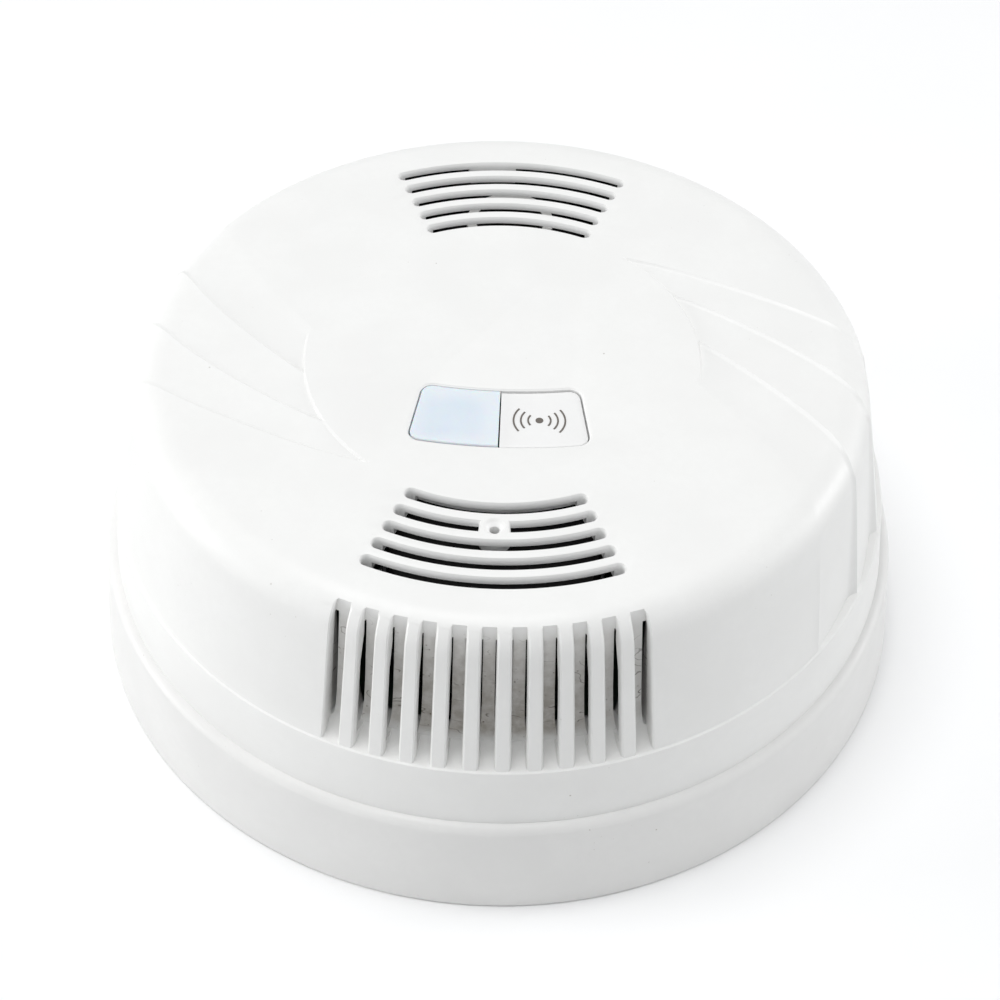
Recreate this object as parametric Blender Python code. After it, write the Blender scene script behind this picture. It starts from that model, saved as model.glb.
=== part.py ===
"""Round battery smoke alarm: a vented head that twists onto a slightly larger mounting base.

The alarm lies on its back. The origin is the centre of the base's back face and +Z points
out of the vented face. The front of the head, with its air grille, faces -Y.
All lengths are metres and all angles are degrees unless a name says otherwise.
"""

import math

import bmesh
import bpy
from mathutils import Matrix, Vector

# Driving dimensions -------------------------------------------------------------------
GAP = 0.0003                      # clearance between pieces that touch

BASE_RADIUS = 0.0540
BASE_HEIGHT = 0.0143
BASE_FLOOR = 0.0022
BASE_BORE = 0.0506                # inside of the base's rim
CABLE_HOLE_RADIUS = 0.0140
KEYHOLE_OFFSET = 0.0300           # wall screws on 60 mm centres
KEYHOLE_NECK = 0.0023
KEYHOLE_HEAD = 0.0042
KEYHOLE_TRAVEL = 0.0070

HOOK_ANGLES = (30.0, 150.0, 270.0)
HOOK_HALF_ANGLE = 6.0
TAB_HALF_ANGLE = 5.0
HOOK_OUTER, HOOK_POST, HOOK_LIP = 0.0453, 0.0435, 0.0413
HOOK_LIP_BOTTOM, HOOK_TOP = 0.0051, 0.0063
TAB_INNER, TAB_STEM, TAB_OUTER = 0.0394, 0.0410, 0.0431
TAB_BOTTOM, TAB_TOP = 0.0034, 0.0048

TOP = 0.0431                      # height of the flat face
SHOULDER_CENTRE = (0.0425, 0.0385)
SHOULDER_RADIUS = 0.0046
WALL_DRAFT = 10.8                 # wall angle from vertical
WALL_FOOT = 0.0229
LEDGE = (0.0505, 0.0226)
FLANGE_BOTTOM = (0.05157, 0.0146)
COVER_THICKNESS = 0.0022
FLANGE_INNER = 0.04995
FLANGE_ROOF = 0.0206
FACE_RINGS = (0.0300, 0.0360)     # grid rings between the disc and the shoulder
WALL_MIDDLE = 0.0310
INNER_WALL_FOOT = 0.0222
FRONT, REAR = 270.0, 90.0

DISC_RADIUS = 0.0250              # the plain middle of the face
DISC_STEP = 0.00045               # run of the step from the middle into a scoop
SWIRL_OUTER = 0.0465
# Each ridge: angle at the shoulder, sweep to the disc, extra hook by the disc, lean down the wall.
RIDGES = ((146.2, 19.5, 4.8, 2.4), (159.4, 22.9, 8.2, 3.0),
          (172.6, 27.4, 11.5, 3.1), (186.5, 27.5, 19.0, 3.2))
HOOK_POWER = 4
# Each scoop's depth beside the disc, on the shoulder and at the wall's foot.
SCOOP_DEPTHS = ((0.00045, 0.00028, 0.00085), (0.00040, 0.00028, 0.00090), (0.00032, 0.00018, 0.00040))
SCOOP_POWERS = (2.4, 1.4)         # how early a scoop deepens, on the face and at the wall's foot
RISER_WIDTHS = (0.0009, 0.0014)   # the rise out of a scoop, on the face and at the wall's foot
RISER_SAG = 0.72                  # how deep the middle of that hollow rise still is
CREST_DEPTH = 0.45                # beside the disc the ridges stay below the face by this fraction

FAN_HALF_ANGLE = 22.6             # half angle of the slots, to the middle of their round ends
SLOT_FIRST_RADIUS = 0.0266
SLOT_PITCH = 0.00296
SLOT_WIDTH = 0.00165
SLOTS = 5
BOSS_SLOT = 1                     # the slot that the small boss interrupts
BOSS_HALF_ANGLE = 3.7
PIN_HOLE_RADIUS = 0.0006
FAN_THICKNESS = 0.00115           # the face is thinner round the slots, but not at their ends
FAN_POCKET_HALF_ANGLE = 22.0
FAN_POCKET_RADII = (0.0253, 0.0400)

GRILLE_HALF_ANGLE = 23.1
BARS = 10
BAR_PITCH = 4.39
BAR_WIDTH = 0.0019
BAR_DEPTH = 0.0016
SILL = (0.0503, 0.02275)          # outer edge of the sill under the bars
PANEL_FOOT = (0.0468, 0.0242)     # front of the panels behind the bars
PANEL_HEAD = (0.0446, 0.0432)
PANEL_BACK = 0.0436
PASSAGE_WIDTH = 0.0021            # air passages through the panels, behind the bars
PASSAGE_FOOT, PASSAGE_HEAD = 0.0237, 0.0402

WINDOW_CENTRE = (0.0, 0.0490)     # centre of the window's curved edges
WINDOW_RADII = (0.0552, 0.0652)
WINDOW_HALF_ANGLE = 10.05
WINDOW_CORNER = 0.0016
BUTTON_TOP = 0.0427
LENS_TOP = 0.0430
PANE_SPLIT = 0.00035              # half of the gap between button and lens, and their gap to the cover
PANE_EDGE = 0.0002                # chamfer round their faces
PANE_FLANGE = (0.0009, 0.0012)    # reach and thickness of their flanges behind the cover
WINDOW_COLUMN = (0.0060, -0.0120) # axis of the stem under the button; the lens mirrors it
SWITCH_HALF, SWITCH_HEIGHT = 0.0030, 0.0035
PLUNGER_RADIUS = 0.0017
PLUNGER_Z = (0.0242, 0.0272)
STEM_RADIUS, STEM_FOOT = 0.0020, 0.02756
PIPE_RADII, PIPE_FOOT = (0.0018, 0.0032), 0.0275
LAMP_RADII = (0.0015, 0.0019)     # dome and collar
LAMP_COLLAR, LAMP_DOME = 0.0010, 0.0034

REAR_PLATE = (0.0070, 0.0088)     # lower and upper face of the head's back plate
REAR_RADIUS = 0.0496
REAR_RIM_TOP = 0.0170
REAR_RIM_WALL = 0.0015
REAR_EDGE = 0.0006
SUNK = 0.0005                     # how deep an added feature is rooted in what carries it
COLUMN_RADIUS, COLUMN_TOP = 0.0044, 0.0124        # columns round the cover screws
SHANK_CLEARANCE, HEAD_CLEARANCE = 0.00175, 0.0032
HEAD_SEAT = 0.0094
POST_RADIUS, POST_BORE = 0.0035, 0.0015           # the cover's own screw posts
POST_FOOT, POST_HEAD, POST_BORE_TOP = 0.0127, 0.0412, 0.0327
BOARD_POST_RADIUS, BOARD_POST_BORE, BOARD_POST_BORE_FOOT = 0.0030, 0.00135, 0.0110

BAY_X = (-0.0285, 0.0250)         # inside of the battery bay
BAY_Y = (-0.0066, 0.0201)
BAY_TOP = 0.0264
BAY_WALL = 0.0015
LEAD_NOTCH_Y = (0.0030, 0.0108)
LEAD_NOTCH_Z = (0.0200, 0.0242)

DOOR_THICKNESS = 0.0015
GRIP_START, GRIP_PITCH, GRIP_WIDTH, GRIP_HALF = 0.0030, 0.0022, 0.0010, 0.0060
GRIPS = 3

BATTERY_X, BATTERY_Y, BATTERY_Z = (-0.0219, 0.0245), (-0.00635, 0.01985), (0.0088, 0.0260)
BATTERY_EDGE = 0.0012
STUD_OFFSET, STUD_LENGTH = 0.00635, 0.0021        # studs lie at this distance from the middle
STUD_RADII = (0.0029, 0.0039)
SNAP_X, SNAP_Y, SNAP_Z = (-0.0278, -0.0222), (-0.0046, 0.0181), (0.0114, 0.0234)
SOCKET_RADII, SOCKET_DEPTH = (0.0033, 0.0044), 0.0022
LEAD_RADIUS = 0.00065
LEAD_ROUTE = ((-0.0281, 0.0221), (-0.0301, 0.0223), (-0.0323, 0.0238), (-0.0343, 0.0240), (-0.0353, 0.0219))

BOARD_Z = (0.0200, 0.0216)
BOARD_RADIUS = 0.0460
BOARD_COLUMN_HOLE, BOARD_SCREW_HOLE = 0.0041, 0.0016
BOARD_BAY_CLEARANCE = 0.0006
CHIP_X, CHIP_Y, CHIP_HEIGHT, CHIP_EDGE = (-0.0400, -0.0360), (-0.0150, -0.0050), 0.0016, 0.0002
CAPACITOR_CENTRE = (0.0360, -0.0080)
CAPACITOR_RADIUS, CAPACITOR_HEIGHT, CAPACITOR_EDGE = 0.00315, 0.0080, 0.0004
COIL_CENTRE = (0.0345, 0.0195)
COIL_FLANGE, COIL_NECK, COIL_FLANGE_THICKNESS, COIL_HEIGHT = 0.0042, 0.0034, 0.0012, 0.0075
SHIELD_X, SHIELD_Y, SHIELD_HEIGHT, SHIELD_EDGE = (-0.0215, -0.0135), (-0.0210, -0.0130), 0.0030, 0.0003
PART_FLOOR = 0.0219               # underside of what stands on the board
COVER_SCREW_RADIUS = 0.0415
COVER_SCREW_ANGLES = (50.0, 130.0, 218.0, 322.0)
BOARD_SCREWS = ((-0.0385, 0.0), (0.0385, 0.0), (-0.0220, -0.0330), (0.0220, -0.0330))

CHAMBER_CENTRE = (0.0, -0.0293)
CHAMBER_RADIUS = 0.0129
CHAMBER_TOP = 0.0386
CHAMBER_FLOOR, CHAMBER_RIM, CHAMBER_RIM_WALL = 0.0229, 0.0244, 0.0020
OPTIC_HEIGHT, OPTIC_RADIUS, OPTIC_ANGLE = 0.0252, 0.0060, 60.0
OPTIC_BODY, OPTIC_BACK, OPTIC_FRONT = 0.0015, 0.0022, 0.0018
HOLDER_SIZE, HOLDER_MIDDLE = (0.0048, 0.0052, 0.0048), 0.0247
HOLDER_BORE, HOLDER_BORE_HALF = 0.0019, 0.0040
LID_THICKNESS, LID_EDGE = 0.0014, 0.0004
VANES, VANE_SIZE, VANE_TURN, VANE_INSET = 12, (0.0040, 0.0009), 50.0, 0.0022
SCREEN_THICKNESS, SCREEN_WINDOWS, SCREEN_RIB_ANGLE = 0.0003, 8, 4.0
SCREEN_STEPS = 24
SCREEN_FRAME = (0.0030, 0.0020)   # what is left under and over the screen's windows

HORN_CENTRE = (0.0, 0.0336)
HORN_RADIUS = 0.0112
HORN_TOP, HORN_EDGE, HORN_WALL = 0.0320, 0.0006, 0.0012
PORT_RADIUS, PORT_BORE, PORT_TOP = 0.0060, 0.0045, 0.0374
SEAT_RADIUS, SEAT_Z = 0.0086, (0.0257, 0.0266)    # ledge that the disc rests against
DISCS = (("sounder_disc", 0.0096, 0.0249, 0.0253), ("sounder_ceramic", 0.0065, 0.0243, 0.0246))

COVER_SCREW = (0.0077, 0.0240, 0.0028, 0.0012)    # head height, tip height, head and shank radius
BOARD_SCREW = (0.0233, 0.0125, 0.0024, 0.0010)
SCREW_HEAD, SCREW_CROWN, SCREW_CROWN_SHARE = 0.0014, 0.0005, 0.75
SCREW_POINT, SCREW_POINT_SHARE = 0.0010, 0.4
RECESS_SHARE, RECESS_HALF, RECESS_DEPTH = 0.55, 0.0003, 0.0008

CORNER_STEPS, EDGE_STEPS = 4, 6
TURN = 360.0
THROUGH = 0.001                   # how far a cutting shape runs past the surface that it opens
FINE, HIDDEN, MEDIUM, COARSE, TINY = 72, 44, 28, 16, 10   # steps around pieces, large to small


# Materials ----------------------------------------------------------------------------
def material(name, colour, roughness, metallic=0.0, alpha=1.0):
    """A Principled material, made once and shared by name."""
    made = bpy.data.materials.get(name)
    if made:
        return made
    made = bpy.data.materials.new(name)
    made.use_nodes = True
    shader = made.node_tree.nodes["Principled BSDF"]
    shader.inputs["Base Color"].default_value = (*colour, 1.0)
    shader.inputs["Roughness"].default_value = roughness
    shader.inputs["Metallic"].default_value = metallic
    shader.inputs["Alpha"].default_value = alpha
    made.diffuse_color = (*colour, alpha)
    return made


def cover_white():
    return material("cover_white", (0.86, 0.86, 0.84), 0.42)


def base_white():
    return material("base_white", (0.82, 0.83, 0.84), 0.45)


def button_white():
    return material("button_white", (0.90, 0.90, 0.89), 0.38)


def housing_white():
    return material("housing_white", (0.78, 0.78, 0.76), 0.50)


def lens_blue():
    return material("lens_blue", (0.72, 0.82, 0.88), 0.18, alpha=0.8)


def chamber_black():
    return material("chamber_black", (0.02, 0.02, 0.02), 0.60)


def board_green():
    return material("board_green", (0.04, 0.22, 0.10), 0.45)


def screw_steel():
    return material("screw_steel", (0.62, 0.63, 0.65), 0.30, metallic=1.0)


def bare_brass():
    return material("bare_brass", (0.80, 0.62, 0.30), 0.32, metallic=1.0)


# Mesh helpers -------------------------------------------------------------------------
def polar(radius, degrees, height=0.0):
    angle = math.radians(degrees)
    return Vector((radius * math.cos(angle), radius * math.sin(angle), height))


def arc(centre, radius, start, end, steps):
    """Points of an arc in a flat outline, both ends included."""
    points = []
    for step in range(steps + 1):
        angle = math.radians(start + (end - start) * step / steps)
        points.append((centre[0] + radius * math.cos(angle), centre[1] + radius * math.sin(angle)))
    return points


def skin(bm, sections, loop=False):
    """Quads between sections of equal length, which are closed into a ring or capped."""
    rows = [[bm.verts.new(point) for point in section] for section in sections]
    count = len(rows[0])
    pairs = list(zip(rows, rows[1:]))
    if loop:
        pairs.append((rows[-1], rows[0]))
    for near, far in pairs:
        for i in range(count):
            j = (i + 1) % count
            bm.faces.new((near[i], near[j], far[j], far[i]))
    if not loop:
        bm.faces.new(list(reversed(rows[0])))
        bm.faces.new(rows[-1])
    return rows


def turned(bm, outline, steps, centre=(0.0, 0.0)):
    """A full turn of an open or closed (radius, height) outline about a vertical axis."""
    verts = [bm.verts.new((centre[0] + r, centre[1], z)) for r, z in outline]
    edges = [bm.edges.new(pair) for pair in zip(verts, verts[1:])]
    if outline[0][0] > 0.0:
        edges.append(bm.edges.new((verts[-1], verts[0])))
    bmesh.ops.spin(
        bm, geom=verts + edges, cent=(*centre, 0.0), axis=(0.0, 0.0, 1.0),
        angle=2.0 * math.pi, steps=steps, use_merge=True,
    )
    bmesh.ops.remove_doubles(bm, verts=bm.verts, dist=1e-7)


def wedge(bm, outline, start, end, steps, centre=(0.0, 0.0)):
    """Part of a turn of a closed (radius, height) outline, with flat ends."""
    offset = Vector((*centre, 0.0))
    sections = []
    for step in range(steps + 1):
        angle = start + (end - start) * step / steps
        sections.append([offset + polar(r, angle, z) for r, z in outline])
    skin(bm, sections)


def prism(bm, outline, bottom, top, flare=None):
    """An upright prism; flare lists extra (height, outline) levels above the bottom one."""
    levels = [(bottom, outline)] + (flare or [(top, outline)])
    skin(bm, [[(x, y, z) for x, y in points] for z, points in levels])


def block(bm, x, y, z):
    """A box between two corners."""
    size = Vector((x[1] - x[0], y[1] - y[0], z[1] - z[0]))
    middle = Vector((x[0] + x[1], y[0] + y[1], z[0] + z[1])) / 2.0
    bmesh.ops.create_cube(bm, size=1.0, matrix=Matrix.Translation(middle) @ Matrix.Diagonal((*size, 1.0)))


def rod(bm, radius, start, end, steps=COARSE, end_radius=None):
    """A round bar, or a cone, between two points."""
    start, end = Vector(start), Vector(end)
    along = end - start
    turn = Vector((0.0, 0.0, 1.0)).rotation_difference(along).to_matrix().to_4x4()
    bmesh.ops.create_cone(
        bm, cap_ends=True, segments=steps, radius1=radius,
        radius2=radius if end_radius is None else end_radius, depth=along.length,
        matrix=Matrix.Translation((start + end) / 2.0) @ turn,
    )


def make(name, bm, finish=None, sharp=35.0, origin=(0.0, 0.0, 0.0)):
    """An object from a bmesh, with its origin set and its round faces smooth."""
    bmesh.ops.recalc_face_normals(bm, faces=bm.faces)
    bmesh.ops.translate(bm, verts=bm.verts, vec=-Vector(origin))
    mesh = bpy.data.meshes.new(name)
    bm.to_mesh(mesh)
    bm.free()
    mesh.shade_smooth()
    mesh.set_sharp_from_angle(angle=math.radians(sharp))
    piece = bpy.data.objects.new(name, mesh)
    piece.location = origin
    bpy.context.collection.objects.link(piece)
    if finish:
        mesh.materials.append(finish)
    return piece


def combine(target, bm, label, operation):
    """Adds or cuts away the shape in a bmesh, kept as a hidden tool object."""
    tool = make(label, bm)
    tool.hide_render = True
    tool.display_type = "WIRE"
    modifier = target.modifiers.new(label, "BOOLEAN")
    modifier.object = tool
    modifier.operation = operation
    modifier.solver = "EXACT"


# Mounting base ------------------------------------------------------------------------
def keyhole(centre_x):
    """Outline of a keyhole: a round entry with a narrower neck towards +Y."""
    half = math.degrees(math.asin(KEYHOLE_NECK / KEYHOLE_HEAD))
    entry = (centre_x, -KEYHOLE_TRAVEL / 2.0)
    end = (centre_x, KEYHOLE_TRAVEL / 2.0)
    return arc(entry, KEYHOLE_HEAD, 90.0 + half, 450.0 - half, 18) + arc(end, KEYHOLE_NECK, 0.0, 180.0, 8)


def mounting_base():
    edge, rim_centre, rim_radius = 0.0004, (0.0514, 0.0126), 0.0015
    outline = [(CABLE_HOLE_RADIUS, 0.0), (BASE_RADIUS - edge, 0.0), (BASE_RADIUS, edge), (0.05285, 0.0118)]
    outline += arc(rim_centre, rim_radius, 20.0, 88.0, 3)
    outline += [(BASE_BORE + edge, BASE_HEIGHT), (BASE_BORE, BASE_HEIGHT - edge)]
    outline += [(BASE_BORE, BASE_FLOOR), (CABLE_HOLE_RADIUS, BASE_FLOOR)]
    bm = bmesh.new()
    turned(bm, outline, FINE)
    base = make("mounting_base", bm, base_white())

    sunk = BASE_FLOOR - 0.0008
    lip = [(HOOK_POST, sunk), (HOOK_OUTER, sunk), (HOOK_OUTER, HOOK_TOP), (HOOK_LIP, HOOK_TOP),
           (HOOK_LIP, HOOK_LIP_BOTTOM), (HOOK_POST, HOOK_LIP_BOTTOM)]
    stop = [(HOOK_LIP, sunk), (HOOK_OUTER, sunk), (HOOK_OUTER, HOOK_TOP), (HOOK_LIP, HOOK_TOP)]
    stop_width, overlap = 2.0, 0.2
    hooks, stops = bmesh.new(), bmesh.new()
    for angle in HOOK_ANGLES:
        start = angle - HOOK_HALF_ANGLE
        wedge(hooks, lip, start, angle + HOOK_HALF_ANGLE, 4)
        wedge(stops, stop, start - stop_width, start + overlap, 1)
    combine(base, hooks, "hook_tool", "UNION")
    combine(base, stops, "stop_tool", "UNION")

    holes = bmesh.new()
    for side in (-1.0, 1.0):
        prism(holes, keyhole(side * KEYHOLE_OFFSET), -THROUGH, BASE_FLOOR + THROUGH)
    combine(base, holes, "keyhole_tool", "DIFFERENCE")


# Front cover --------------------------------------------------------------------------
def ridge_angle(ridge, radius, height):
    """A ridge's angle where it crosses a ring: it spirals over the face and leans down the wall."""
    shoulder, sweep, hook, lean = ridge
    if height < SHOULDER_CENTRE[1]:
        return shoulder - lean * (SHOULDER_CENTRE[1] - height) / (SHOULDER_CENTRE[1] - WALL_FOOT)
    inward = (SWIRL_OUTER - max(radius, DISC_RADIUS)) / (SWIRL_OUTER - DISC_RADIUS)
    inward = max(inward, 0.0)
    return shoulder + sweep * inward + hook * inward ** HOOK_POWER


def blend(pair, part):
    return pair[0] + (pair[1] - pair[0]) * part


def down_wall(height):
    """0 on the face and the shoulder, growing to 1 at the foot of the wall."""
    drop = (SHOULDER_CENTRE[1] - height) / (SHOULDER_CENTRE[1] - WALL_FOOT)
    return min(max(drop, 0.0), 1.0)


def over_face(radius, height):
    """0 beside the disc, growing to 1 where the face meets the shoulder."""
    if height < SHOULDER_CENTRE[1]:
        return 1.0
    return min((radius - DISC_RADIUS) / (SWIRL_OUTER - DISC_RADIUS), 1.0)


def meridians(radius, height, scoop_steps, plain_steps):
    """(angle, depth fraction, scoop number) for each grid line that crosses a ring, twice round."""
    angles = [ridge_angle(ridge, radius, height) for ridge in RIDGES]
    riser = math.degrees(blend(RISER_WIDTHS, down_wall(height)) / radius)
    power = blend(SCOOP_POWERS, down_wall(height))
    crest_depth = CREST_DEPTH * (1.0 - over_face(radius, height))
    lines = []
    for half in (0.0, 180.0):
        for scoop, (start, crest) in enumerate(zip(angles, angles[1:])):
            foot = crest - riser
            begin = crest_depth if scoop else 0.0
            finish = crest_depth if scoop < len(SCOOP_DEPTHS) - 1 else 0.0
            for step in range(scoop_steps + 1):
                part = step / scoop_steps
                fraction = 1.0 - (1.0 - begin) * (1.0 - part) ** power
                lines.append((half + start + (foot - start) * part, fraction, scoop))
            lines.append((half + foot + riser / 2.0, finish + (1.0 - finish) * RISER_SAG, scoop))
        plain_end = angles[0] + 180.0
        for step in range(plain_steps):
            lines.append((half + angles[-1] + (plain_end - angles[-1]) * step / plain_steps, 0.0, 0))
    return lines


def scoop_depth(radius, height, scoop):
    """How deep a scoop is at its deep side; the middle of the face has none."""
    if radius < DISC_RADIUS + DISC_STEP / 2.0:
        return 0.0
    inner, shoulder, foot = SCOOP_DEPTHS[scoop]
    return blend((blend((inner, shoulder), over_face(radius, height)), foot), down_wall(height))


def wall_point(height, inset=0.0):
    """A point of the drafted wall, or of the surface that lies inset from it."""
    angle = math.radians(WALL_DRAFT)
    reach = SHOULDER_RADIUS - inset
    foot = (SHOULDER_CENTRE[0] + reach * math.cos(angle), SHOULDER_CENTRE[1] + reach * math.sin(angle))
    return (foot[0] + (foot[1] - height) * math.tan(angle), height)


def shell_rings():
    """(radius, height, outward slant) of the cover's rings, outer face first, then inner."""
    outer = [(DISC_RADIUS, TOP, 90.0), (DISC_RADIUS + DISC_STEP, TOP, 90.0)]
    outer += [(radius, TOP, 90.0) for radius in FACE_RINGS]
    for radius, height in arc(SHOULDER_CENTRE, SHOULDER_RADIUS, 90.0, WALL_DRAFT, 5):
        slant = math.degrees(math.atan2(height - SHOULDER_CENTRE[1], radius - SHOULDER_CENTRE[0]))
        outer.append((radius, height, slant))
    outer.append((*wall_point(WALL_MIDDLE), WALL_DRAFT))
    outer.append((*wall_point(WALL_FOOT), WALL_DRAFT))
    flange = [LEDGE, FLANGE_BOTTOM, (FLANGE_INNER, FLANGE_BOTTOM[1]), (FLANGE_INNER, FLANGE_ROOF)]
    inner = [wall_point(INNER_WALL_FOOT, COVER_THICKNESS)]
    inner += arc(SHOULDER_CENTRE, SHOULDER_RADIUS - COVER_THICKNESS, WALL_DRAFT, 90.0, 3)
    return outer, flange + inner


def cover_shell(bm, scoop_steps, plain_steps):
    """The cover's closed skin. Its grid lines follow the swirl ridges, so the ridges stay crisp."""
    outer, rest = shell_rings()
    rings = []
    for radius, height, slant in outer:
        inward = math.radians(slant)
        ring = []
        for angle, fraction, scoop in meridians(radius, height, scoop_steps, plain_steps):
            depth = fraction * scoop_depth(radius, height, scoop)
            ring.append(polar(radius - depth * math.cos(inward), angle, height - depth * math.sin(inward)))
        rings.append(ring)
    for radius, height in rest:
        lines = meridians(radius, min(height, WALL_FOOT), scoop_steps, plain_steps)
        rings.append([polar(radius, angle, height) for angle, _, _ in lines])
    skin(bm, rings)


def grille_block(bm):
    """Thickens the front wall up to the back of the grille's panels."""
    low, sunk, crown_end = 0.0224, 0.0008, 80.0
    half = GRILLE_HALF_ANGLE + 1.8
    reach = SHOULDER_RADIUS - sunk
    outline = [(PANEL_BACK, low), wall_point(low, sunk)]
    crown = arc(SHOULDER_CENTRE, reach, WALL_DRAFT, crown_end, 4)
    outline += [point for point in crown if point[0] > PANEL_BACK]
    lift = math.sqrt(reach ** 2 - (PANEL_BACK - SHOULDER_CENTRE[0]) ** 2)
    outline.append((PANEL_BACK, SHOULDER_CENTRE[1] + lift))
    wedge(bm, outline, FRONT - half, FRONT + half, 12)


def panel_front(height):
    """Radius of the panels' front face at a height."""
    part = (height - PANEL_FOOT[1]) / (PANEL_HEAD[1] - PANEL_FOOT[1])
    return PANEL_FOOT[0] + (PANEL_HEAD[0] - PANEL_FOOT[0]) * part


def bar_angle(bar):
    """Angle of a bar; the whole numbers just outside the bars give the grille's two ends."""
    if bar < 0:
        return FRONT - GRILLE_HALF_ANGLE
    if bar >= BARS:
        return FRONT + GRILLE_HALF_ANGLE
    return FRONT + BAR_PITCH * (bar - (BARS - 1) / 2.0)


def grille_openings(bm):
    """The openings between the bars, from the sill to where the panels run out over the shoulder."""
    outside, above = 0.0530, 0.0450
    outline = [PANEL_FOOT, SILL, (outside, SILL[1]), (outside, above), (panel_front(above), above)]
    half = math.degrees(BAR_WIDTH / 2.0 / wall_point(WALL_MIDDLE)[0])
    for bar in range(BARS + 1):
        start = bar_angle(bar - 1) + (half if bar > 0 else 0.0)
        end = bar_angle(bar) - (half if bar < BARS else 0.0)
        wedge(bm, outline, start, end, 2)


def grille_air_gap(bm):
    """The tapering space between the backs of the bars and the panels."""
    low, high, inside, skim = 0.0240, 0.0370, 0.05, 0.00005
    outline = [PANEL_FOOT, (wall_point(low, BAR_DEPTH)[0], low)]
    outline += [wall_point(high, BAR_DEPTH), (panel_front(high) - skim, high)]
    wedge(bm, outline, bar_angle(-1) + inside, bar_angle(BARS) - inside, 12)


def grille_passages(bm):
    """Upright slots through the panels, one behind each bar and one at each end."""
    half = math.degrees(PASSAGE_WIDTH / 2.0 / PANEL_FOOT[0])
    back, lip, lip_top, past = PANEL_BACK - 0.0006, 0.0009, 0.0252, 0.0003
    outline = [(back, PASSAGE_FOOT), (PANEL_FOOT[0] + lip, PASSAGE_FOOT), (PANEL_FOOT[0] + past, lip_top)]
    outline += [(panel_front(PASSAGE_HEAD) + past, PASSAGE_HEAD), (back, PASSAGE_HEAD)]
    for bar in range(-1, BARS + 1):
        wedge(bm, outline, bar_angle(bar) - half, bar_angle(bar) + half, 1)


def slot_outline(radius, start, end, steps=10, blunt=()):
    """Outline of a curved slot; its ends are round unless they are named blunt."""
    half = SLOT_WIDTH / 2.0
    outline = arc((0.0, 0.0), radius + half, start, end, steps)
    if "end" not in blunt:
        outline += arc(polar(radius, end), half, end, end + 180.0, EDGE_STEPS)[1:-1]
    outline += arc((0.0, 0.0), radius - half, end, start, steps)
    if "start" not in blunt:
        outline += arc(polar(radius, start), half, start + 180.0, start + 360.0, EDGE_STEPS)[1:-1]
    return outline


def face_slots(bm):
    """Five curved slots over the front grille and five opposite it, and the boss's pin hole."""
    below, above = TOP - COVER_THICKNESS - THROUGH, TOP + THROUGH
    for middle in (REAR, FRONT):
        start, end = middle - FAN_HALF_ANGLE, middle + FAN_HALF_ANGLE
        for index in range(SLOTS):
            radius = SLOT_FIRST_RADIUS + SLOT_PITCH * index
            if middle == FRONT and index == BOSS_SLOT:
                near, far = middle - BOSS_HALF_ANGLE, middle + BOSS_HALF_ANGLE
                prism(bm, slot_outline(radius, start, near, steps=5, blunt=("end",)), below, above)
                prism(bm, slot_outline(radius, far, end, steps=5, blunt=("start",)), below, above)
                boss = polar(radius, middle)
                rod(bm, PIN_HOLE_RADIUS, (boss.x, boss.y, below), (boss.x, boss.y, above), TINY)
            else:
                prism(bm, slot_outline(radius, start, end), below, above)


def fan_pockets(bm):
    """Hollows under the slots that leave the face thinner there."""
    low, high = TOP - COVER_THICKNESS - THROUGH, TOP - FAN_THICKNESS
    inner, outer = FAN_POCKET_RADII
    outline = [(inner, low), (outer, low), (outer, high), (inner, high)]
    for middle in (REAR, FRONT):
        wedge(bm, outline, middle - FAN_POCKET_HALF_ANGLE, middle + FAN_POCKET_HALF_ANGLE, 10)


def window_outline(start, end, inset=0.0, round_start=True, round_end=True):
    """Outline of the window, or of a piece in it, between two angles about its centre."""
    inner, outer = WINDOW_RADII[0] + inset, WINDOW_RADII[1] - inset
    corner = WINDOW_CORNER - inset
    first = FRONT + start + (math.degrees(inset / outer) if round_start else 0.0)
    last = FRONT + end - (math.degrees(inset / outer) if round_end else 0.0)
    turn = math.degrees(corner / outer)
    from_angle = first + (turn if round_start else 0.0)
    to_angle = last - (turn if round_end else 0.0)

    def rounded(radius, angle, begin, finish):
        middle = polar(radius, angle)
        centre = (WINDOW_CENTRE[0] + middle.x, WINDOW_CENTRE[1] + middle.y)
        return arc(centre, corner, begin, finish, CORNER_STEPS)

    outline = rounded(outer - corner, from_angle, first - 90.0, from_angle) if round_start else []
    edge = arc(WINDOW_CENTRE, outer, from_angle, to_angle, EDGE_STEPS)
    outline += edge[int(round_start):len(edge) - int(round_end)]
    if round_end:
        outline += rounded(outer - corner, to_angle, to_angle, last + 90.0)
        outline += rounded(inner + corner, to_angle, last + 90.0, to_angle + 180.0)
    edge = arc(WINDOW_CENTRE, inner, to_angle, from_angle, EDGE_STEPS)
    outline += edge[int(round_end):len(edge) - int(round_start)]
    if round_start:
        outline += rounded(inner + corner, from_angle, from_angle + 180.0, first + 270.0)
    return outline


def cover_posts(bm):
    """Hollow posts that the cover screws bite into."""
    profile = [(0.0, POST_HEAD), (POST_RADIUS, POST_HEAD), (POST_RADIUS, POST_FOOT), (POST_BORE, POST_FOOT)]
    profile += [(POST_BORE, POST_BORE_TOP), (0.0, POST_BORE_TOP)]
    for angle in COVER_SCREW_ANGLES:
        centre = polar(COVER_SCREW_RADIUS, angle)
        post = bmesh.new()
        turned(post, profile, COARSE, (centre.x, centre.y))
        append(bm, post)


def append(bm, other):
    """Moves one bmesh's shape into another."""
    mesh = bpy.data.meshes.new("part")
    other.to_mesh(mesh)
    other.free()
    bm.from_mesh(mesh)
    bpy.data.meshes.remove(mesh)


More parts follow.
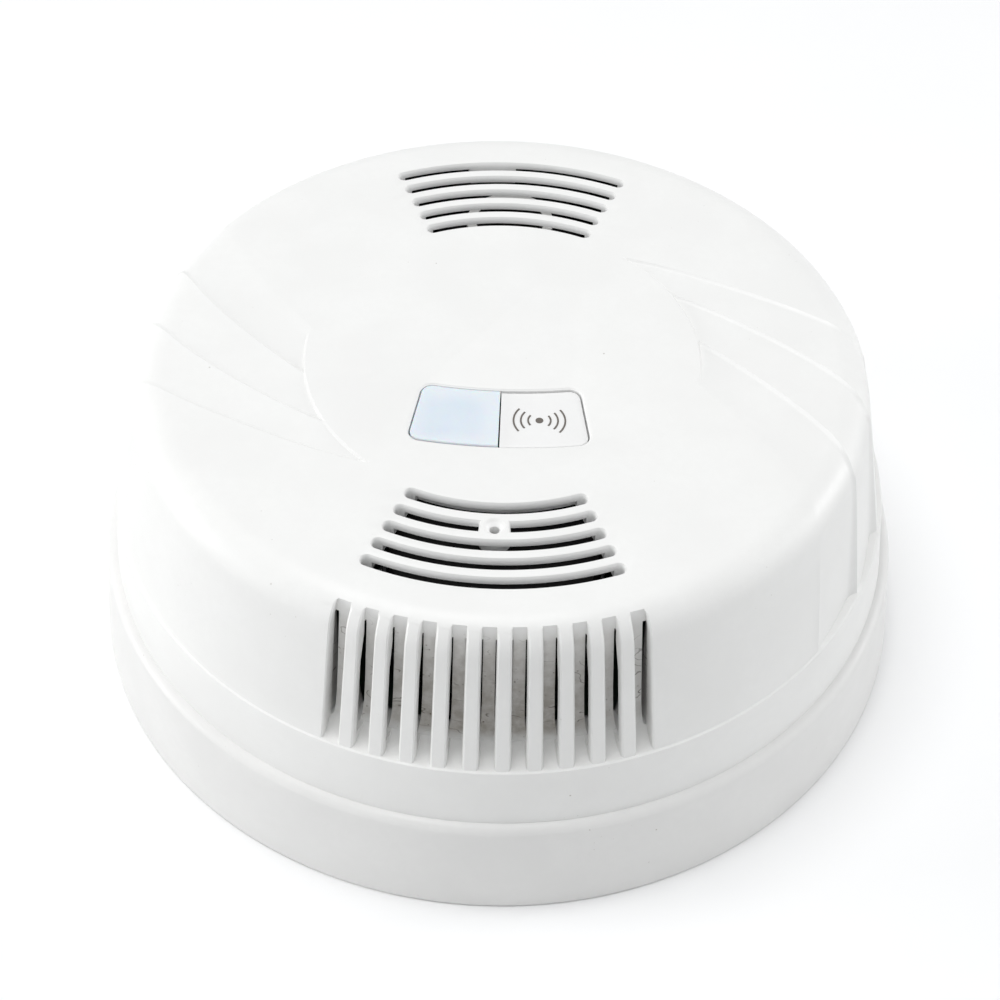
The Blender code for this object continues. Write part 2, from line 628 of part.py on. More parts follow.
def front_cover():
    bm = bmesh.new()
    cover_shell(bm, scoop_steps=4, plain_steps=18)
    cover = make("front_cover", bm, cover_white(), sharp=22.0)

    thick = bmesh.new()
    grille_block(thick)
    combine(cover, thick, "grille_block_tool", "UNION")
    posts = bmesh.new()
    cover_posts(posts)
    combine(cover, posts, "post_tool", "UNION")

    for label, cutter in (("opening_tool", grille_openings), ("air_gap_tool", grille_air_gap),
                          ("passage_tool", grille_passages), ("pocket_tool", fan_pockets),
                          ("slot_tool", face_slots)):
        shape = bmesh.new()
        cutter(shape)
        combine(cover, shape, label, "DIFFERENCE")
    window = bmesh.new()
    outline = window_outline(-WINDOW_HALF_ANGLE, WINDOW_HALF_ANGLE)
    prism(window, outline, TOP - COVER_THICKNESS - THROUGH, TOP + THROUGH)
    combine(cover, window, "window_tool", "DIFFERENCE")


# Button, lens and what they work on ---------------------------------------------------
def window_pane(bm, start, end, round_start, round_end, top):
    """The face of the button or the lens, with a flange behind the cover on its outer sides."""
    clear = math.degrees(PANE_SPLIT / 2.0 / WINDOW_RADII[1])
    start += 0.0 if round_start else clear
    end -= 0.0 if round_end else clear
    reach, thick = PANE_FLANGE
    face = window_outline(start, end, PANE_SPLIT, round_start, round_end)
    crown = window_outline(start, end, PANE_SPLIT + PANE_EDGE, round_start, round_end)
    flange = window_outline(start, end, -reach, round_start, round_end)
    high = TOP - COVER_THICKNESS - GAP
    levels = [(high, flange), (high, face), (top - PANE_EDGE, face), (top, crown)]
    prism(bm, flange, high - thick, high, levels)


def test_button():
    x, y = WINDOW_COLUMN
    bm = bmesh.new()
    window_pane(bm, 0.0, WINDOW_HALF_ANGLE, False, True, BUTTON_TOP)
    button = make("test_button", bm, button_white(), origin=(x, y, BUTTON_TOP))
    stem = bmesh.new()
    rod(stem, STEM_RADIUS, (x, y, STEM_FOOT), (x, y, TOP - COVER_THICKNESS - THROUGH))
    combine(button, stem, "stem_tool", "UNION")


def indicator_lens():
    x, y = -WINDOW_COLUMN[0], WINDOW_COLUMN[1]
    bm = bmesh.new()
    window_pane(bm, -WINDOW_HALF_ANGLE, 0.0, True, False, LENS_TOP)
    lens = make("indicator_lens", bm, lens_blue())
    pipe = bmesh.new()
    narrow, wide = PIPE_RADII
    rod(pipe, narrow, (x, y, PIPE_FOOT), (x, y, TOP - COVER_THICKNESS - THROUGH), end_radius=wide)
    combine(lens, pipe, "pipe_tool", "UNION")


def tact_switch():
    x, y = WINDOW_COLUMN
    half, top = SWITCH_HALF, PART_FLOOR + SWITCH_HEIGHT
    bm = bmesh.new()
    block(bm, (x - half, x + half), (y - half, y + half), (PART_FLOOR, top))
    body = make("switch_body", bm, chamber_black())
    low, high = PLUNGER_Z
    well = bmesh.new()
    rod(well, PLUNGER_RADIUS + GAP, (x, y, low - 2.0 * GAP), (x, y, top + THROUGH))
    combine(body, well, "switch_well_tool", "DIFFERENCE")
    plunger = bmesh.new()
    rod(plunger, PLUNGER_RADIUS, (x, y, low), (x, y, high))
    make("switch_plunger", plunger, chamber_black(), origin=(x, y, high))


def status_lamp():
    x, y = -WINDOW_COLUMN[0], WINDOW_COLUMN[1]
    radius, collar = LAMP_RADII
    step = PART_FLOOR + LAMP_COLLAR
    outline = [(0.0, PART_FLOOR + LAMP_DOME + radius)]
    outline += arc((0.0, PART_FLOOR + LAMP_DOME), radius, 72.0, 0.0, 4)
    outline += [(radius, step), (collar, step), (collar, PART_FLOOR), (0.0, PART_FLOOR)]
    bm = bmesh.new()
    turned(bm, outline, TINY, (x, y))
    make("status_lamp", bm, material("lamp_red", (0.70, 0.06, 0.05), 0.15, alpha=0.8))


# Head's rear housing and battery ------------------------------------------------------
def rear_housing():
    low, high = REAR_PLATE
    inside = REAR_RADIUS - REAR_RIM_WALL
    outline = [(0.0, high), (inside, high), (inside, REAR_RIM_TOP), (REAR_RADIUS, REAR_RIM_TOP)]
    outline += [(REAR_RADIUS, low + REAR_EDGE), (REAR_RADIUS - REAR_EDGE, low), (0.0, low)]
    bm = bmesh.new()
    turned(bm, outline, HIDDEN)
    housing = make("rear_housing", bm, housing_white())

    bay = bmesh.new()
    root = low + SUNK
    block(bay, (BAY_X[0] - BAY_WALL, BAY_X[1] + BAY_WALL), (BAY_Y[0] - BAY_WALL, BAY_Y[1] + BAY_WALL),
          (root, BAY_TOP + BAY_WALL))
    for angle in COVER_SCREW_ANGLES:
        x, y, _ = polar(COVER_SCREW_RADIUS, angle)
        rod(bay, COLUMN_RADIUS, (x, y, root), (x, y, COLUMN_TOP))
    for x, y in BOARD_SCREWS:
        rod(bay, BOARD_POST_RADIUS, (x, y, root), (x, y, BOARD_Z[0] - GAP))
    combine(housing, bay, "bay_tool", "UNION")

    tabs = bmesh.new()
    foot = [(TAB_INNER, TAB_BOTTOM), (TAB_OUTER, TAB_BOTTOM), (TAB_OUTER, TAB_TOP), (TAB_STEM, TAB_TOP),
            (TAB_STEM, root), (TAB_INNER, root)]
    for angle in HOOK_ANGLES:
        wedge(tabs, foot, angle - TAB_HALF_ANGLE, angle + TAB_HALF_ANGLE, 3)
    combine(housing, tabs, "tab_tool", "UNION")

    hollow = bmesh.new()
    block(hollow, BAY_X, BAY_Y, (low - THROUGH, BAY_TOP))
    hole_outline = [(0.0, COLUMN_TOP + THROUGH), (SHANK_CLEARANCE, COLUMN_TOP + THROUGH)]
    hole_outline += [(SHANK_CLEARANCE, HEAD_SEAT), (HEAD_CLEARANCE, HEAD_SEAT)]
    hole_outline += [(HEAD_CLEARANCE, low - THROUGH), (0.0, low - THROUGH)]
    for angle in COVER_SCREW_ANGLES:
        x, y, _ = polar(COVER_SCREW_RADIUS, angle)
        hole = bmesh.new()
        turned(hole, hole_outline, COARSE, (x, y))
        append(hollow, hole)
    for x, y in BOARD_SCREWS:
        rod(hollow, BOARD_POST_BORE, (x, y, BOARD_POST_BORE_FOOT), (x, y, BOARD_Z[0] + THROUGH), TINY)
    combine(housing, hollow, "hollow_tool", "DIFFERENCE")

    notch = bmesh.new()
    block(notch, (BAY_X[0] - BAY_WALL - THROUGH, BAY_X[0] + THROUGH), LEAD_NOTCH_Y, LEAD_NOTCH_Z)
    combine(housing, notch, "notch_tool", "DIFFERENCE")


def battery_door():
    low = REAR_PLATE[0]
    x = (BAY_X[0] + GAP, BAY_X[1] - GAP)
    y = (BAY_Y[0] + GAP, BAY_Y[1] - GAP)
    bm = bmesh.new()
    block(bm, x, y, (low, low + DOOR_THICKNESS))
    door = make("battery_door", bm, housing_white())
    grip = bmesh.new()
    middle = (y[0] + y[1]) / 2.0
    for step in range(GRIPS):
        start = x[0] + GRIP_START + GRIP_PITCH * step
        block(grip, (start, start + GRIP_WIDTH), (middle - GRIP_HALF, middle + GRIP_HALF),
              (low - THROUGH, low + SUNK))
    combine(door, grip, "grip_tool", "DIFFERENCE")


def battery():
    bm = bmesh.new()
    block(bm, BATTERY_X, BATTERY_Y, BATTERY_Z)
    bmesh.ops.bevel(bm, geom=bm.edges, offset=BATTERY_EDGE, segments=2, affect="EDGES", profile=0.5)
    cell = make("battery", bm, material("battery_wrap", (0.10, 0.16, 0.34), 0.35, metallic=0.3))
    studs = bmesh.new()
    middle, height = sum(BATTERY_Y) / 2.0, sum(BATTERY_Z) / 2.0
    for side, radius, steps in ((-1.0, STUD_RADII[0], COARSE), (1.0, STUD_RADII[1], 6)):
        y = middle + side * STUD_OFFSET
        rod(studs, radius, (BATTERY_X[0] + SUNK, y, height), (BATTERY_X[0] - STUD_LENGTH, y, height), steps)
    combine(cell, studs, "stud_tool", "UNION")


def battery_snap():
    bm = bmesh.new()
    block(bm, SNAP_X, SNAP_Y, SNAP_Z)
    snap = make("battery_snap", bm, chamber_black())
    sockets = bmesh.new()
    middle, height = sum(BATTERY_Y) / 2.0, sum(BATTERY_Z) / 2.0
    for side, radius in zip((-1.0, 1.0), SOCKET_RADII):
        y = middle + side * STUD_OFFSET
        rod(sockets, radius, (SNAP_X[1] + THROUGH, y, height), (SNAP_X[1] - SOCKET_DEPTH, y, height))
    combine(snap, sockets, "socket_tool", "DIFFERENCE")


def smooth_route(points, samples):
    """Points of a smooth curve through a few chosen ones."""
    points = [Vector(point) for point in points]
    ends = [2.0 * points[0] - points[1]] + points + [2.0 * points[-1] - points[-2]]
    route = []
    for a, b, c, d in zip(ends, ends[1:], ends[2:], ends[3:]):
        for step in range(samples):
            t = step / samples
            route.append(0.5 * (2.0 * b + (c - a) * t + (2.0 * a - 5.0 * b + 4.0 * c - d) * t ** 2
                                + (3.0 * b - a - 3.0 * c + d) * t ** 3))
    route.append(points[-1])
    return route


def lead(name, y, colour):
    """A short insulated lead from the battery snap through the bay's notch to the board."""
    route = smooth_route([(x, y, z) for x, z in LEAD_ROUTE], 2)
    curve = bpy.data.curves.new(name, "CURVE")
    curve.dimensions = "3D"
    curve.bevel_depth = LEAD_RADIUS
    curve.bevel_resolution = 2
    curve.use_fill_caps = True
    curve.render_resolution_u = 0
    spline = curve.splines.new("POLY")
    spline.points.add(len(route) - 1)
    for point, place in zip(spline.points, route):
        point.co = (*place, 1.0)
    piece = bpy.data.objects.new(name, curve)
    curve.materials.append(material(name, colour, 0.45))
    bpy.context.collection.objects.link(piece)


# Circuit board and its parts ----------------------------------------------------------
def circuit_board():
    low, high = BOARD_Z
    bm = bmesh.new()
    rod(bm, BOARD_RADIUS, (0.0, 0.0, low), (0.0, 0.0, high), HIDDEN)
    board = make("circuit_board", bm, board_green())
    holes = bmesh.new()
    reach = BAY_WALL + BOARD_BAY_CLEARANCE
    below, above = low - THROUGH, high + THROUGH
    block(holes, (BAY_X[0] - reach, BAY_X[1] + reach), (BAY_Y[0] - reach, BAY_Y[1] + reach), (below, above))
    for angle in COVER_SCREW_ANGLES:
        x, y, _ = polar(COVER_SCREW_RADIUS, angle)
        rod(holes, BOARD_COLUMN_HOLE, (x, y, below), (x, y, above))
    for x, y in BOARD_SCREWS:
        rod(holes, BOARD_SCREW_HOLE, (x, y, below), (x, y, above), TINY)
    combine(board, holes, "board_hole_tool", "DIFFERENCE")


def box_part(name, x, y, height, edge, finish):
    """A component in the form of a box with broken edges, standing on the board."""
    bm = bmesh.new()
    block(bm, x, y, (PART_FLOOR, PART_FLOOR + height))
    bmesh.ops.bevel(bm, geom=bm.edges, offset=edge, segments=1, affect="EDGES")
    make(name, bm, finish)


def capacitor():
    radius, edge, top = CAPACITOR_RADIUS, CAPACITOR_EDGE, PART_FLOOR + CAPACITOR_HEIGHT
    outline = [(0.0, top), (radius - edge, top), (radius, top - edge)]
    outline += [(radius, PART_FLOOR), (0.0, PART_FLOOR)]
    bm = bmesh.new()
    turned(bm, outline, COARSE, CAPACITOR_CENTRE)
    make("capacitor", bm, material("capacitor_sleeve", (0.06, 0.08, 0.16), 0.40))


def step_up_coil():
    floor, top = PART_FLOOR + COIL_FLANGE_THICKNESS, PART_FLOOR + COIL_HEIGHT
    roof = top - COIL_FLANGE_THICKNESS
    outline = [(0.0, top), (COIL_FLANGE, top), (COIL_FLANGE, roof), (COIL_NECK, roof)]
    outline += [(COIL_NECK, floor), (COIL_FLANGE, floor), (COIL_FLANGE, PART_FLOOR), (0.0, PART_FLOOR)]
    bm = bmesh.new()
    turned(bm, outline, COARSE, COIL_CENTRE)
    make("step_up_coil", bm, material("ferrite", (0.10, 0.09, 0.09), 0.55))


def board_parts():
    box_part("microcontroller", CHIP_X, CHIP_Y, CHIP_HEIGHT, CHIP_EDGE,
             material("chip_grey", (0.05, 0.05, 0.055), 0.50))
    box_part("amplifier_shield", SHIELD_X, SHIELD_Y, SHIELD_HEIGHT, SHIELD_EDGE,
             material("tinned_steel", (0.70, 0.71, 0.72), 0.28, metallic=1.0))
    capacitor()
    step_up_coil()


# Smoke chamber ------------------------------------------------------------------------
def optic_place(side):
    """Where an optical part lies in the chamber, and the way that it looks."""
    look = polar(1.0, REAR + side * OPTIC_ANGLE)
    return Vector((*CHAMBER_CENTRE, OPTIC_HEIGHT)) + look * OPTIC_RADIUS, look


def chamber_base():
    radius, inside = CHAMBER_RADIUS, CHAMBER_RADIUS - CHAMBER_RIM_WALL
    outline = [(0.0, CHAMBER_FLOOR), (inside, CHAMBER_FLOOR), (inside, CHAMBER_RIM), (radius, CHAMBER_RIM)]
    outline += [(radius, PART_FLOOR), (0.0, PART_FLOOR)]
    bm = bmesh.new()
    turned(bm, outline, MEDIUM, CHAMBER_CENTRE)
    base = make("chamber_base", bm, chamber_black())
    holders = bmesh.new()
    bores = bmesh.new()
    for side in (-1.0, 1.0):
        place, look = optic_place(side)
        turn = Matrix.Rotation(math.atan2(look.y, look.x), 4, "Z")
        size = Matrix.Diagonal((*HOLDER_SIZE, 1.0))
        centre = Matrix.Translation((place.x, place.y, HOLDER_MIDDLE))
        bmesh.ops.create_cube(holders, size=1.0, matrix=centre @ turn @ size)
        rod(bores, HOLDER_BORE, place - look * HOLDER_BORE_HALF, place + look * HOLDER_BORE_HALF)
    combine(base, holders, "holder_tool", "UNION")
    combine(base, bores, "holder_bore_tool", "DIFFERENCE")


def optics():
    kinds = (("infrared_emitter", -1.0, (0.55, 0.62, 0.75)), ("photodiode", 1.0, (0.05, 0.05, 0.07)))
    for name, side, colour in kinds:
        place, look = optic_place(side)
        bm = bmesh.new()
        rod(bm, OPTIC_BODY, place - look * OPTIC_BACK, place + look * OPTIC_FRONT)
        make(name, bm, material(name, colour, 0.15))


def chamber_cap():
    """A lid with slanted vanes under it, which let air in and keep light out."""
    lid, edge = CHAMBER_TOP - LID_THICKNESS, LID_EDGE
    outline = [(0.0, CHAMBER_TOP), (CHAMBER_RADIUS - edge, CHAMBER_TOP)]
    outline += [(CHAMBER_RADIUS, CHAMBER_TOP - edge), (CHAMBER_RADIUS, lid), (0.0, lid)]
    bm = bmesh.new()
    turned(bm, outline, MEDIUM, CHAMBER_CENTRE)
    cap = make("chamber_cap", bm, chamber_black())
    vanes = bmesh.new()
    foot, root = CHAMBER_RIM + GAP, lid + SUNK
    for index in range(VANES):
        angle = TURN * index / VANES
        centre = polar(CHAMBER_RADIUS - VANE_INSET, angle) + Vector((*CHAMBER_CENTRE, (foot + root) / 2.0))
        turn = Matrix.Rotation(math.radians(angle + VANE_TURN), 4, "Z")
        size = Matrix.Diagonal((*VANE_SIZE, root - foot, 1.0))
        bmesh.ops.create_cube(vanes, size=1.0, matrix=Matrix.Translation(centre) @ turn @ size)
    combine(cap, vanes, "vane_tool", "UNION")


def insect_screen():
    inner = CHAMBER_RADIUS + GAP
    outer = inner + SCREEN_THICKNESS
    low, high = PART_FLOOR + GAP, CHAMBER_TOP - LID_EDGE
    bm = bmesh.new()
    turned(bm, [(inner, low), (outer, low), (outer, high), (inner, high)], SCREEN_STEPS, CHAMBER_CENTRE)
    screen = make("insect_screen", bm, material("screen_grey", (0.16, 0.16, 0.17), 0.40, metallic=0.6))
    windows = bmesh.new()
    foot, head = low + SCREEN_FRAME[0], high - SCREEN_FRAME[1]
    near, far = inner - THROUGH, outer + THROUGH
    band = [(near, foot), (far, foot), (far, head), (near, head)]
    pitch, rib = TURN / SCREEN_WINDOWS, SCREEN_RIB_ANGLE / 2.0
    for index in range(SCREEN_WINDOWS):
        wedge(windows, band, pitch * index + rib, pitch * (index + 1) - rib, 1, CHAMBER_CENTRE)
    combine(screen, windows, "screen_window_tool", "DIFFERENCE")


# Sounder ------------------------------------------------------------------------------
def sounder():
    inside, roof = HORN_RADIUS - HORN_WALL, HORN_TOP - HORN_WALL
    outline = [(inside, PART_FLOOR), (HORN_RADIUS, PART_FLOOR), (HORN_RADIUS, HORN_TOP - HORN_EDGE)]
    outline += [(HORN_RADIUS - HORN_EDGE, HORN_TOP), (PORT_RADIUS, HORN_TOP), (PORT_RADIUS, PORT_TOP)]
    outline += [(PORT_BORE, PORT_TOP), (PORT_BORE, roof), (inside, roof), (inside, SEAT_Z[1])]
    outline += [(SEAT_RADIUS, SEAT_Z[1]), (SEAT_RADIUS, SEAT_Z[0]), (inside, SEAT_Z[0])]
    bm = bmesh.new()
    turned(bm, outline, MEDIUM, HORN_CENTRE)
    make("sounder_housing", bm, housing_white())
    finishes = (bare_brass(), material("ceramic", (0.80, 0.78, 0.72), 0.40))
    for (name, radius, low, high), finish in zip(DISCS, finishes):
        disc = bmesh.new()
        rod(disc, radius, (*HORN_CENTRE, low), (*HORN_CENTRE, high), MEDIUM)
        make(name, disc, finish)


# Screws -------------------------------------------------------------------------------
def screw(name, x, y, head_z, tip_z, head_radius, shank_radius):
    """A pan-head screw that stands upright, with a cross recess; the head may face up or down."""
    way = 1.0 if head_z > tip_z else -1.0
    seat, point = head_z - way * SCREW_HEAD, tip_z + way * SCREW_POINT
    outline = [(0.0, head_z), (head_radius * SCREW_CROWN_SHARE, head_z)]
    outline += [(head_radius, head_z - way * SCREW_CROWN), (head_radius, seat)]
    outline += [(shank_radius, seat), (shank_radius, point)]
    outline += [(shank_radius * SCREW_POINT_SHARE, tip_z), (0.0, tip_z)]
    bm = bmesh.new()
    turned(bm, outline, TINY, (x, y))
    piece = make(name, bm, screw_steel())
    recess = bmesh.new()
    arm, half = head_radius * RECESS_SHARE, RECESS_HALF
    levels = sorted((head_z + way * THROUGH, head_z - way * RECESS_DEPTH))
    cross = [(arm, -half), (arm, half), (half, half), (half, arm), (-half, arm), (-half, half), (-arm, half),
             (-arm, -half), (-half, -half), (-half, -arm), (half, -arm), (half, -half)]
    prism(recess, [(x + dx, y + dy) for dx, dy in cross], *levels)
    combine(piece, recess, name + "_recess_tool", "DIFFERENCE")


def screws():
    for index, angle in enumerate(COVER_SCREW_ANGLES):
        x, y, _ = polar(COVER_SCREW_RADIUS, angle)
        screw(f"cover_screw_{index + 1}", x, y, *COVER_SCREW)
    for index, (x, y) in enumerate(BOARD_SCREWS):
        screw(f"board_screw_{index + 1}", x, y, *BOARD_SCREW)


def main():
    for old in list(bpy.data.objects):
        bpy.data.objects.remove(old, do_unlink=True)
    mounting_base()
    rear_housing()
    battery_door()
    battery()
    battery_snap()
    lead("lead_red", 0.0048, (0.60, 0.04, 0.03))
    lead("lead_black", 0.0088, (0.03, 0.03, 0.03))
    circuit_board()
    board_parts()
    chamber_base()
    optics()
    chamber_cap()
    insect_screen()
    sounder()
    tact_switch()
    status_lamp()
    indicator_lens()
    test_button()
    front_cover()
    screws()


main()
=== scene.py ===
import math

import bmesh
import bpy
from mathutils import Matrix, Vector


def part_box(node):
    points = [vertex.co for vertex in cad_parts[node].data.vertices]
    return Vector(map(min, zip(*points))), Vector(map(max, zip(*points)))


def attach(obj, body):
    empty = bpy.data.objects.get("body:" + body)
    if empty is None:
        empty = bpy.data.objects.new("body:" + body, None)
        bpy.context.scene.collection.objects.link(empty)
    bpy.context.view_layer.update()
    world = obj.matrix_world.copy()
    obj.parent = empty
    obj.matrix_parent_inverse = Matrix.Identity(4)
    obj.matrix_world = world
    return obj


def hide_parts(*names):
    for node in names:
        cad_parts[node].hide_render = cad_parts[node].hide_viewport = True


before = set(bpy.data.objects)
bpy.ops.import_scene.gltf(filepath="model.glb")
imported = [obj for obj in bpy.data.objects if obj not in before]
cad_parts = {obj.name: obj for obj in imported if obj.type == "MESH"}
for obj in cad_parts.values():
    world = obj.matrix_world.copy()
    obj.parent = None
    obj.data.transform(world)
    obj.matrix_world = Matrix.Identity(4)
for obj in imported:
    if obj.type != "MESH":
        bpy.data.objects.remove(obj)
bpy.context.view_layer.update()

# Dimensions of the finely modelled pieces, which stand for their CAD nodes ---------------
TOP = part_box("front_cover")[1].z
FLANGE_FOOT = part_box("front_cover")[0].z
BASE_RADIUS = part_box("mounting_base")[1].x
BASE_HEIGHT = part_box("mounting_base")[1].z
BUTTON_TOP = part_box("test_button")[1].z
LENS_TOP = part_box("indicator_lens")[1].z
GAP = 0.0003
THROUGH = 0.001

BASE_FLOOR, BASE_BORE, CABLE_HOLE_RADIUS = 0.0022, 0.0506, 0.0140
KEYHOLE_OFFSET, KEYHOLE_NECK, KEYHOLE_HEAD, KEYHOLE_TRAVEL = 0.0300, 0.0023, 0.0042, 0.0070
HOOK_ANGLES, HOOK_HALF_ANGLE = (30.0, 150.0, 270.0), 6.0
HOOK_OUTER, HOOK_POST, HOOK_LIP, HOOK_LIP_BOTTOM, HOOK_TOP = 0.0453, 0.0435, 0.0413, 0.0051, 0.0063

SHOULDER_CENTRE, SHOULDER_RADIUS = (0.0425, 0.0385), 0.0046
WALL_DRAFT, WALL_FOOT = 10.8, 0.0229
LEDGE, FLANGE_RADIUS = (0.0505, 0.0226), 0.05157
COVER_THICKNESS, FLANGE_INNER, FLANGE_ROOF, INNER_WALL_FOOT = 0.0022, 0.04995, 0.0206, 0.0222

DISC_RADIUS, DISC_STEP, SWIRL_OUTER = 0.0250, 0.00032, 0.0465
START_BEAD = (0.00030, 0.00006)   # width and height of the bead that starts the first scoop on the wall
BEAD = -1                         # stands in for a scoop's number on the grid line along the bead
# Each ridge: its angle at the shoulder, its sweep and its hook towards the disc, its lean down the wall
RIDGES = ((146.2, 19.5, 4.8, 2.4), (159.4, 22.9, 8.2, 3.0),
          (172.6, 27.4, 11.5, 3.1), (186.5, 27.5, 19.0, 3.2))
HOOK_POWER = 4
# Each scoop's depth at its deep side: beside the disc, at the shoulder, at the foot of the wall
SCOOP_DEPTHS = ((0.00045, 0.00028, 0.00085), (0.00040, 0.00028, 0.00090), (0.00032, 0.00018, 0.00040))
SCOOP_POWERS, RISER_WIDTHS, CREST_DEPTH = (2.4, 1.4), (0.0009, 0.0014), 0.45
RISER_PROFILE = ((0.25, 0.93), (0.5, 0.72), (0.78, 0.34))   # (part of the riser's width, depth left)

FRONT, REAR = 270.0, 90.0
FAN_HALF_ANGLE, SLOT_FIRST_RADIUS, SLOT_PITCH, SLOT_WIDTH, SLOTS = 22.4, 0.0266, 0.00296, 0.00138, 5
SLOT_EDGE = (0.00034, 0.00085)     # width and depth of the rounding at a slot's upper edge
BOSS_SLOT, BOSS_HALF_ANGLE, PIN_HOLE_RADIUS = 1, 3.7, 0.0006
BOSS_RADIUS, BOSS_FOOT, DIMPLE_RADIUS, DIMPLE_DEPTH = 0.0020, 0.0393, 0.0012, 0.0007
FAN_THICKNESS = {FRONT: 0.00104, REAR: 0.00096}
FAN_POCKET_HALF_ANGLE, FAN_POCKET_RADII = 22.0, (0.0253, 0.0376, 0.0412)
REAR_RIB = (89.2, 98.6)           # a rib closes the outermost rear slot between these angles

GRILLE_HALF_ANGLE, BARS, BAR_PITCH, BAR_DEPTH = 23.1, 10, 4.39, 0.0010
BAR_WIDTHS = (0.0020, 0.00172)    # at the foot and at the head
END_SPLAY = 0.16                  # how far the grille's end walls lean outwards behind the surface
# Rows of an opening: depth behind the wall's surface (the first row lies on the panel), flare of its sides
OPENING_DEPTHS = ((None, 0.0), (0.0030, 0.0), (0.0022, 0.0), (0.0014, 0.0), (0.00045, 0.0), (0.00020, 0.00009),
                  (0.0, 0.00028), (-0.00040, 0.00070), (-0.0030, 0.00070))
FILLET_POWER = 2.2
SILL, PANEL_FOOT, PANEL_HEAD, PANEL_BACK = (0.0503, 0.02275), (0.0468, 0.0242), (0.0446, 0.0432), 0.0436
PASSAGE_WIDTH, END_PASSAGE_WIDTH, END_PASSAGE_TURN = 0.0021, 0.0011, 0.5
# (height, share of a passage's full width)
PASSAGE_TAPER = ((0.0238, 0.40), (0.0252, 0.72), (0.0275, 0.94), (0.0310, 1.0), (0.0406, 1.0))

WINDOW_CENTRE, WINDOW_RADII = (0.0, 0.0490), (0.0552, 0.0652)
WINDOW_HALF_ANGLE, WINDOW_CORNER = 10.05, 0.0016
WINDOW_RIM, WINDOW_RIM_DEPTH = 0.00050, 0.00028
PANE_SPLIT, PANE_EDGE, PANE_FLANGE = 0.00018, 0.0002, (0.0009, 0.0012)
WINDOW_COLUMN = (0.0060, -0.0120)
STEM_RADIUS, STEM_FOOT = 0.0020, 0.02756
PIPE_RADII, PIPE_FOOT = (0.0018, 0.0032), 0.0275

COVER_SCREW_RADIUS, COVER_SCREW_ANGLES = 0.0415, (50.0, 130.0, 218.0, 322.0)
POST_RADIUS, POST_BORE, POST_FOOT, POST_HEAD, POST_BORE_TOP = 0.0035, 0.0015, 0.0127, 0.0412, 0.0327

# The sounder's port: its axis, and where the painted shade begins in its bore and below its ring
PORT_Y, PORT_BORE_EDGE, PORT_SEAT = 0.0336, (0.0046, 0.0048), (0.0338, 0.0346)
# Near-black colour for painted shade on the inner surfaces, standing in for the dark inside the alarm
PAINTED_SHADE_BLACK = (0.004, 0.004, 0.004)


# Mesh helpers ----------------------------------------------------------------------------
def polar(radius, degrees, height=0.0):
    angle = math.radians(degrees)
    return Vector((radius * math.cos(angle), radius * math.sin(angle), height))


def arc(centre, radius, start, end, steps):
    """Points of an arc in a flat outline, both ends included."""
    points = []
    for step in range(steps + 1):
        angle = math.radians(start + (end - start) * step / steps)
        points.append((centre[0] + radius * math.cos(angle), centre[1] + radius * math.sin(angle)))
    return points


def mix(pair, part):
    return pair[0] + (pair[1] - pair[0]) * part


def skin(bm, sections):
    """Quads between sections of equal length, with the first and the last one capped."""
    rows = [[bm.verts.new(point) for point in section] for section in sections]
    count = len(rows[0])
    for near, far in zip(rows, rows[1:]):
        for i in range(count):
            j = (i + 1) % count
            bm.faces.new((near[i], near[j], far[j], far[i]))
    bm.faces.new(list(reversed(rows[0])))
    bm.faces.new(rows[-1])


def turned(bm, outline, steps, centre=(0.0, 0.0)):
    """A full turn of a closed (radius, height) outline."""
    verts = [bm.verts.new((centre[0] + r, centre[1], z)) for r, z in outline]
    edges = [bm.edges.new(pair) for pair in zip(verts, verts[1:])]
    if outline[0][0] > 0.0:
        edges.append(bm.edges.new((verts[-1], verts[0])))
    bmesh.ops.spin(bm, geom=verts + edges, cent=(*centre, 0.0), axis=(0.0, 0.0, 1.0),
                   angle=2.0 * math.pi, steps=steps, use_merge=True)
    bmesh.ops.remove_doubles(bm, verts=bm.verts, dist=1e-7)


def wedge(bm, outline, start, end, steps):
    """Part of a turn of a closed (radius, height) outline, with flat ends."""
    sections = []
    for step in range(steps + 1):
        angle = start + (end - start) * step / steps
        sections.append([polar(r, angle, z) for r, z in outline])
    skin(bm, sections)


def layers(bm, levels):
    """An upright solid through (height, outline) levels."""
    skin(bm, [[(x, y, z) for x, y in points] for z, points in levels])


def rod(bm, radius, start, end, steps=32, end_radius=None):
    start, end = Vector(start), Vector(end)
    along = end - start
    turn = Vector((0.0, 0.0, 1.0)).rotation_difference(along).to_matrix().to_4x4()
    bmesh.ops.create_cone(bm, cap_ends=True, segments=steps, radius1=radius,
                          radius2=radius if end_radius is None else end_radius, depth=along.length,
                          matrix=Matrix.Translation((start + end) / 2.0) @ turn)


def new_object(name, bm):
    bmesh.ops.recalc_face_normals(bm, faces=bm.faces)
    mesh = bpy.data.meshes.new(name)
    bm.to_mesh(mesh)
    bm.free()
    piece = bpy.data.objects.new(name, mesh)
    bpy.context.scene.collection.objects.link(piece)
    return piece


def carve(piece, bm, operation):
    """Joins the shape in a bmesh to the piece, or cuts it away, and keeps only the result."""
    tool = new_object("tool", bm)
    modifier = piece.modifiers.new("carve", "BOOLEAN")
    modifier.object = tool
    modifier.operation = operation
    modifier.solver = "EXACT"
    result = bpy.data.meshes.new_from_object(piece.evaluated_get(bpy.context.evaluated_depsgraph_get()))
    piece.modifiers.clear()
    piece.data = result
    bpy.data.objects.remove(tool)


def finished(piece, node, body, surface, sharp):
    """Smooth shading, a surface, and the piece's place in the frame."""
    piece.data.materials.clear()
    piece.data.materials.append(surface)
    piece.data.shade_smooth()
    piece.data.set_sharp_from_angle(angle=math.radians(sharp))
    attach(piece, body)
    if node:
        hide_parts(node)


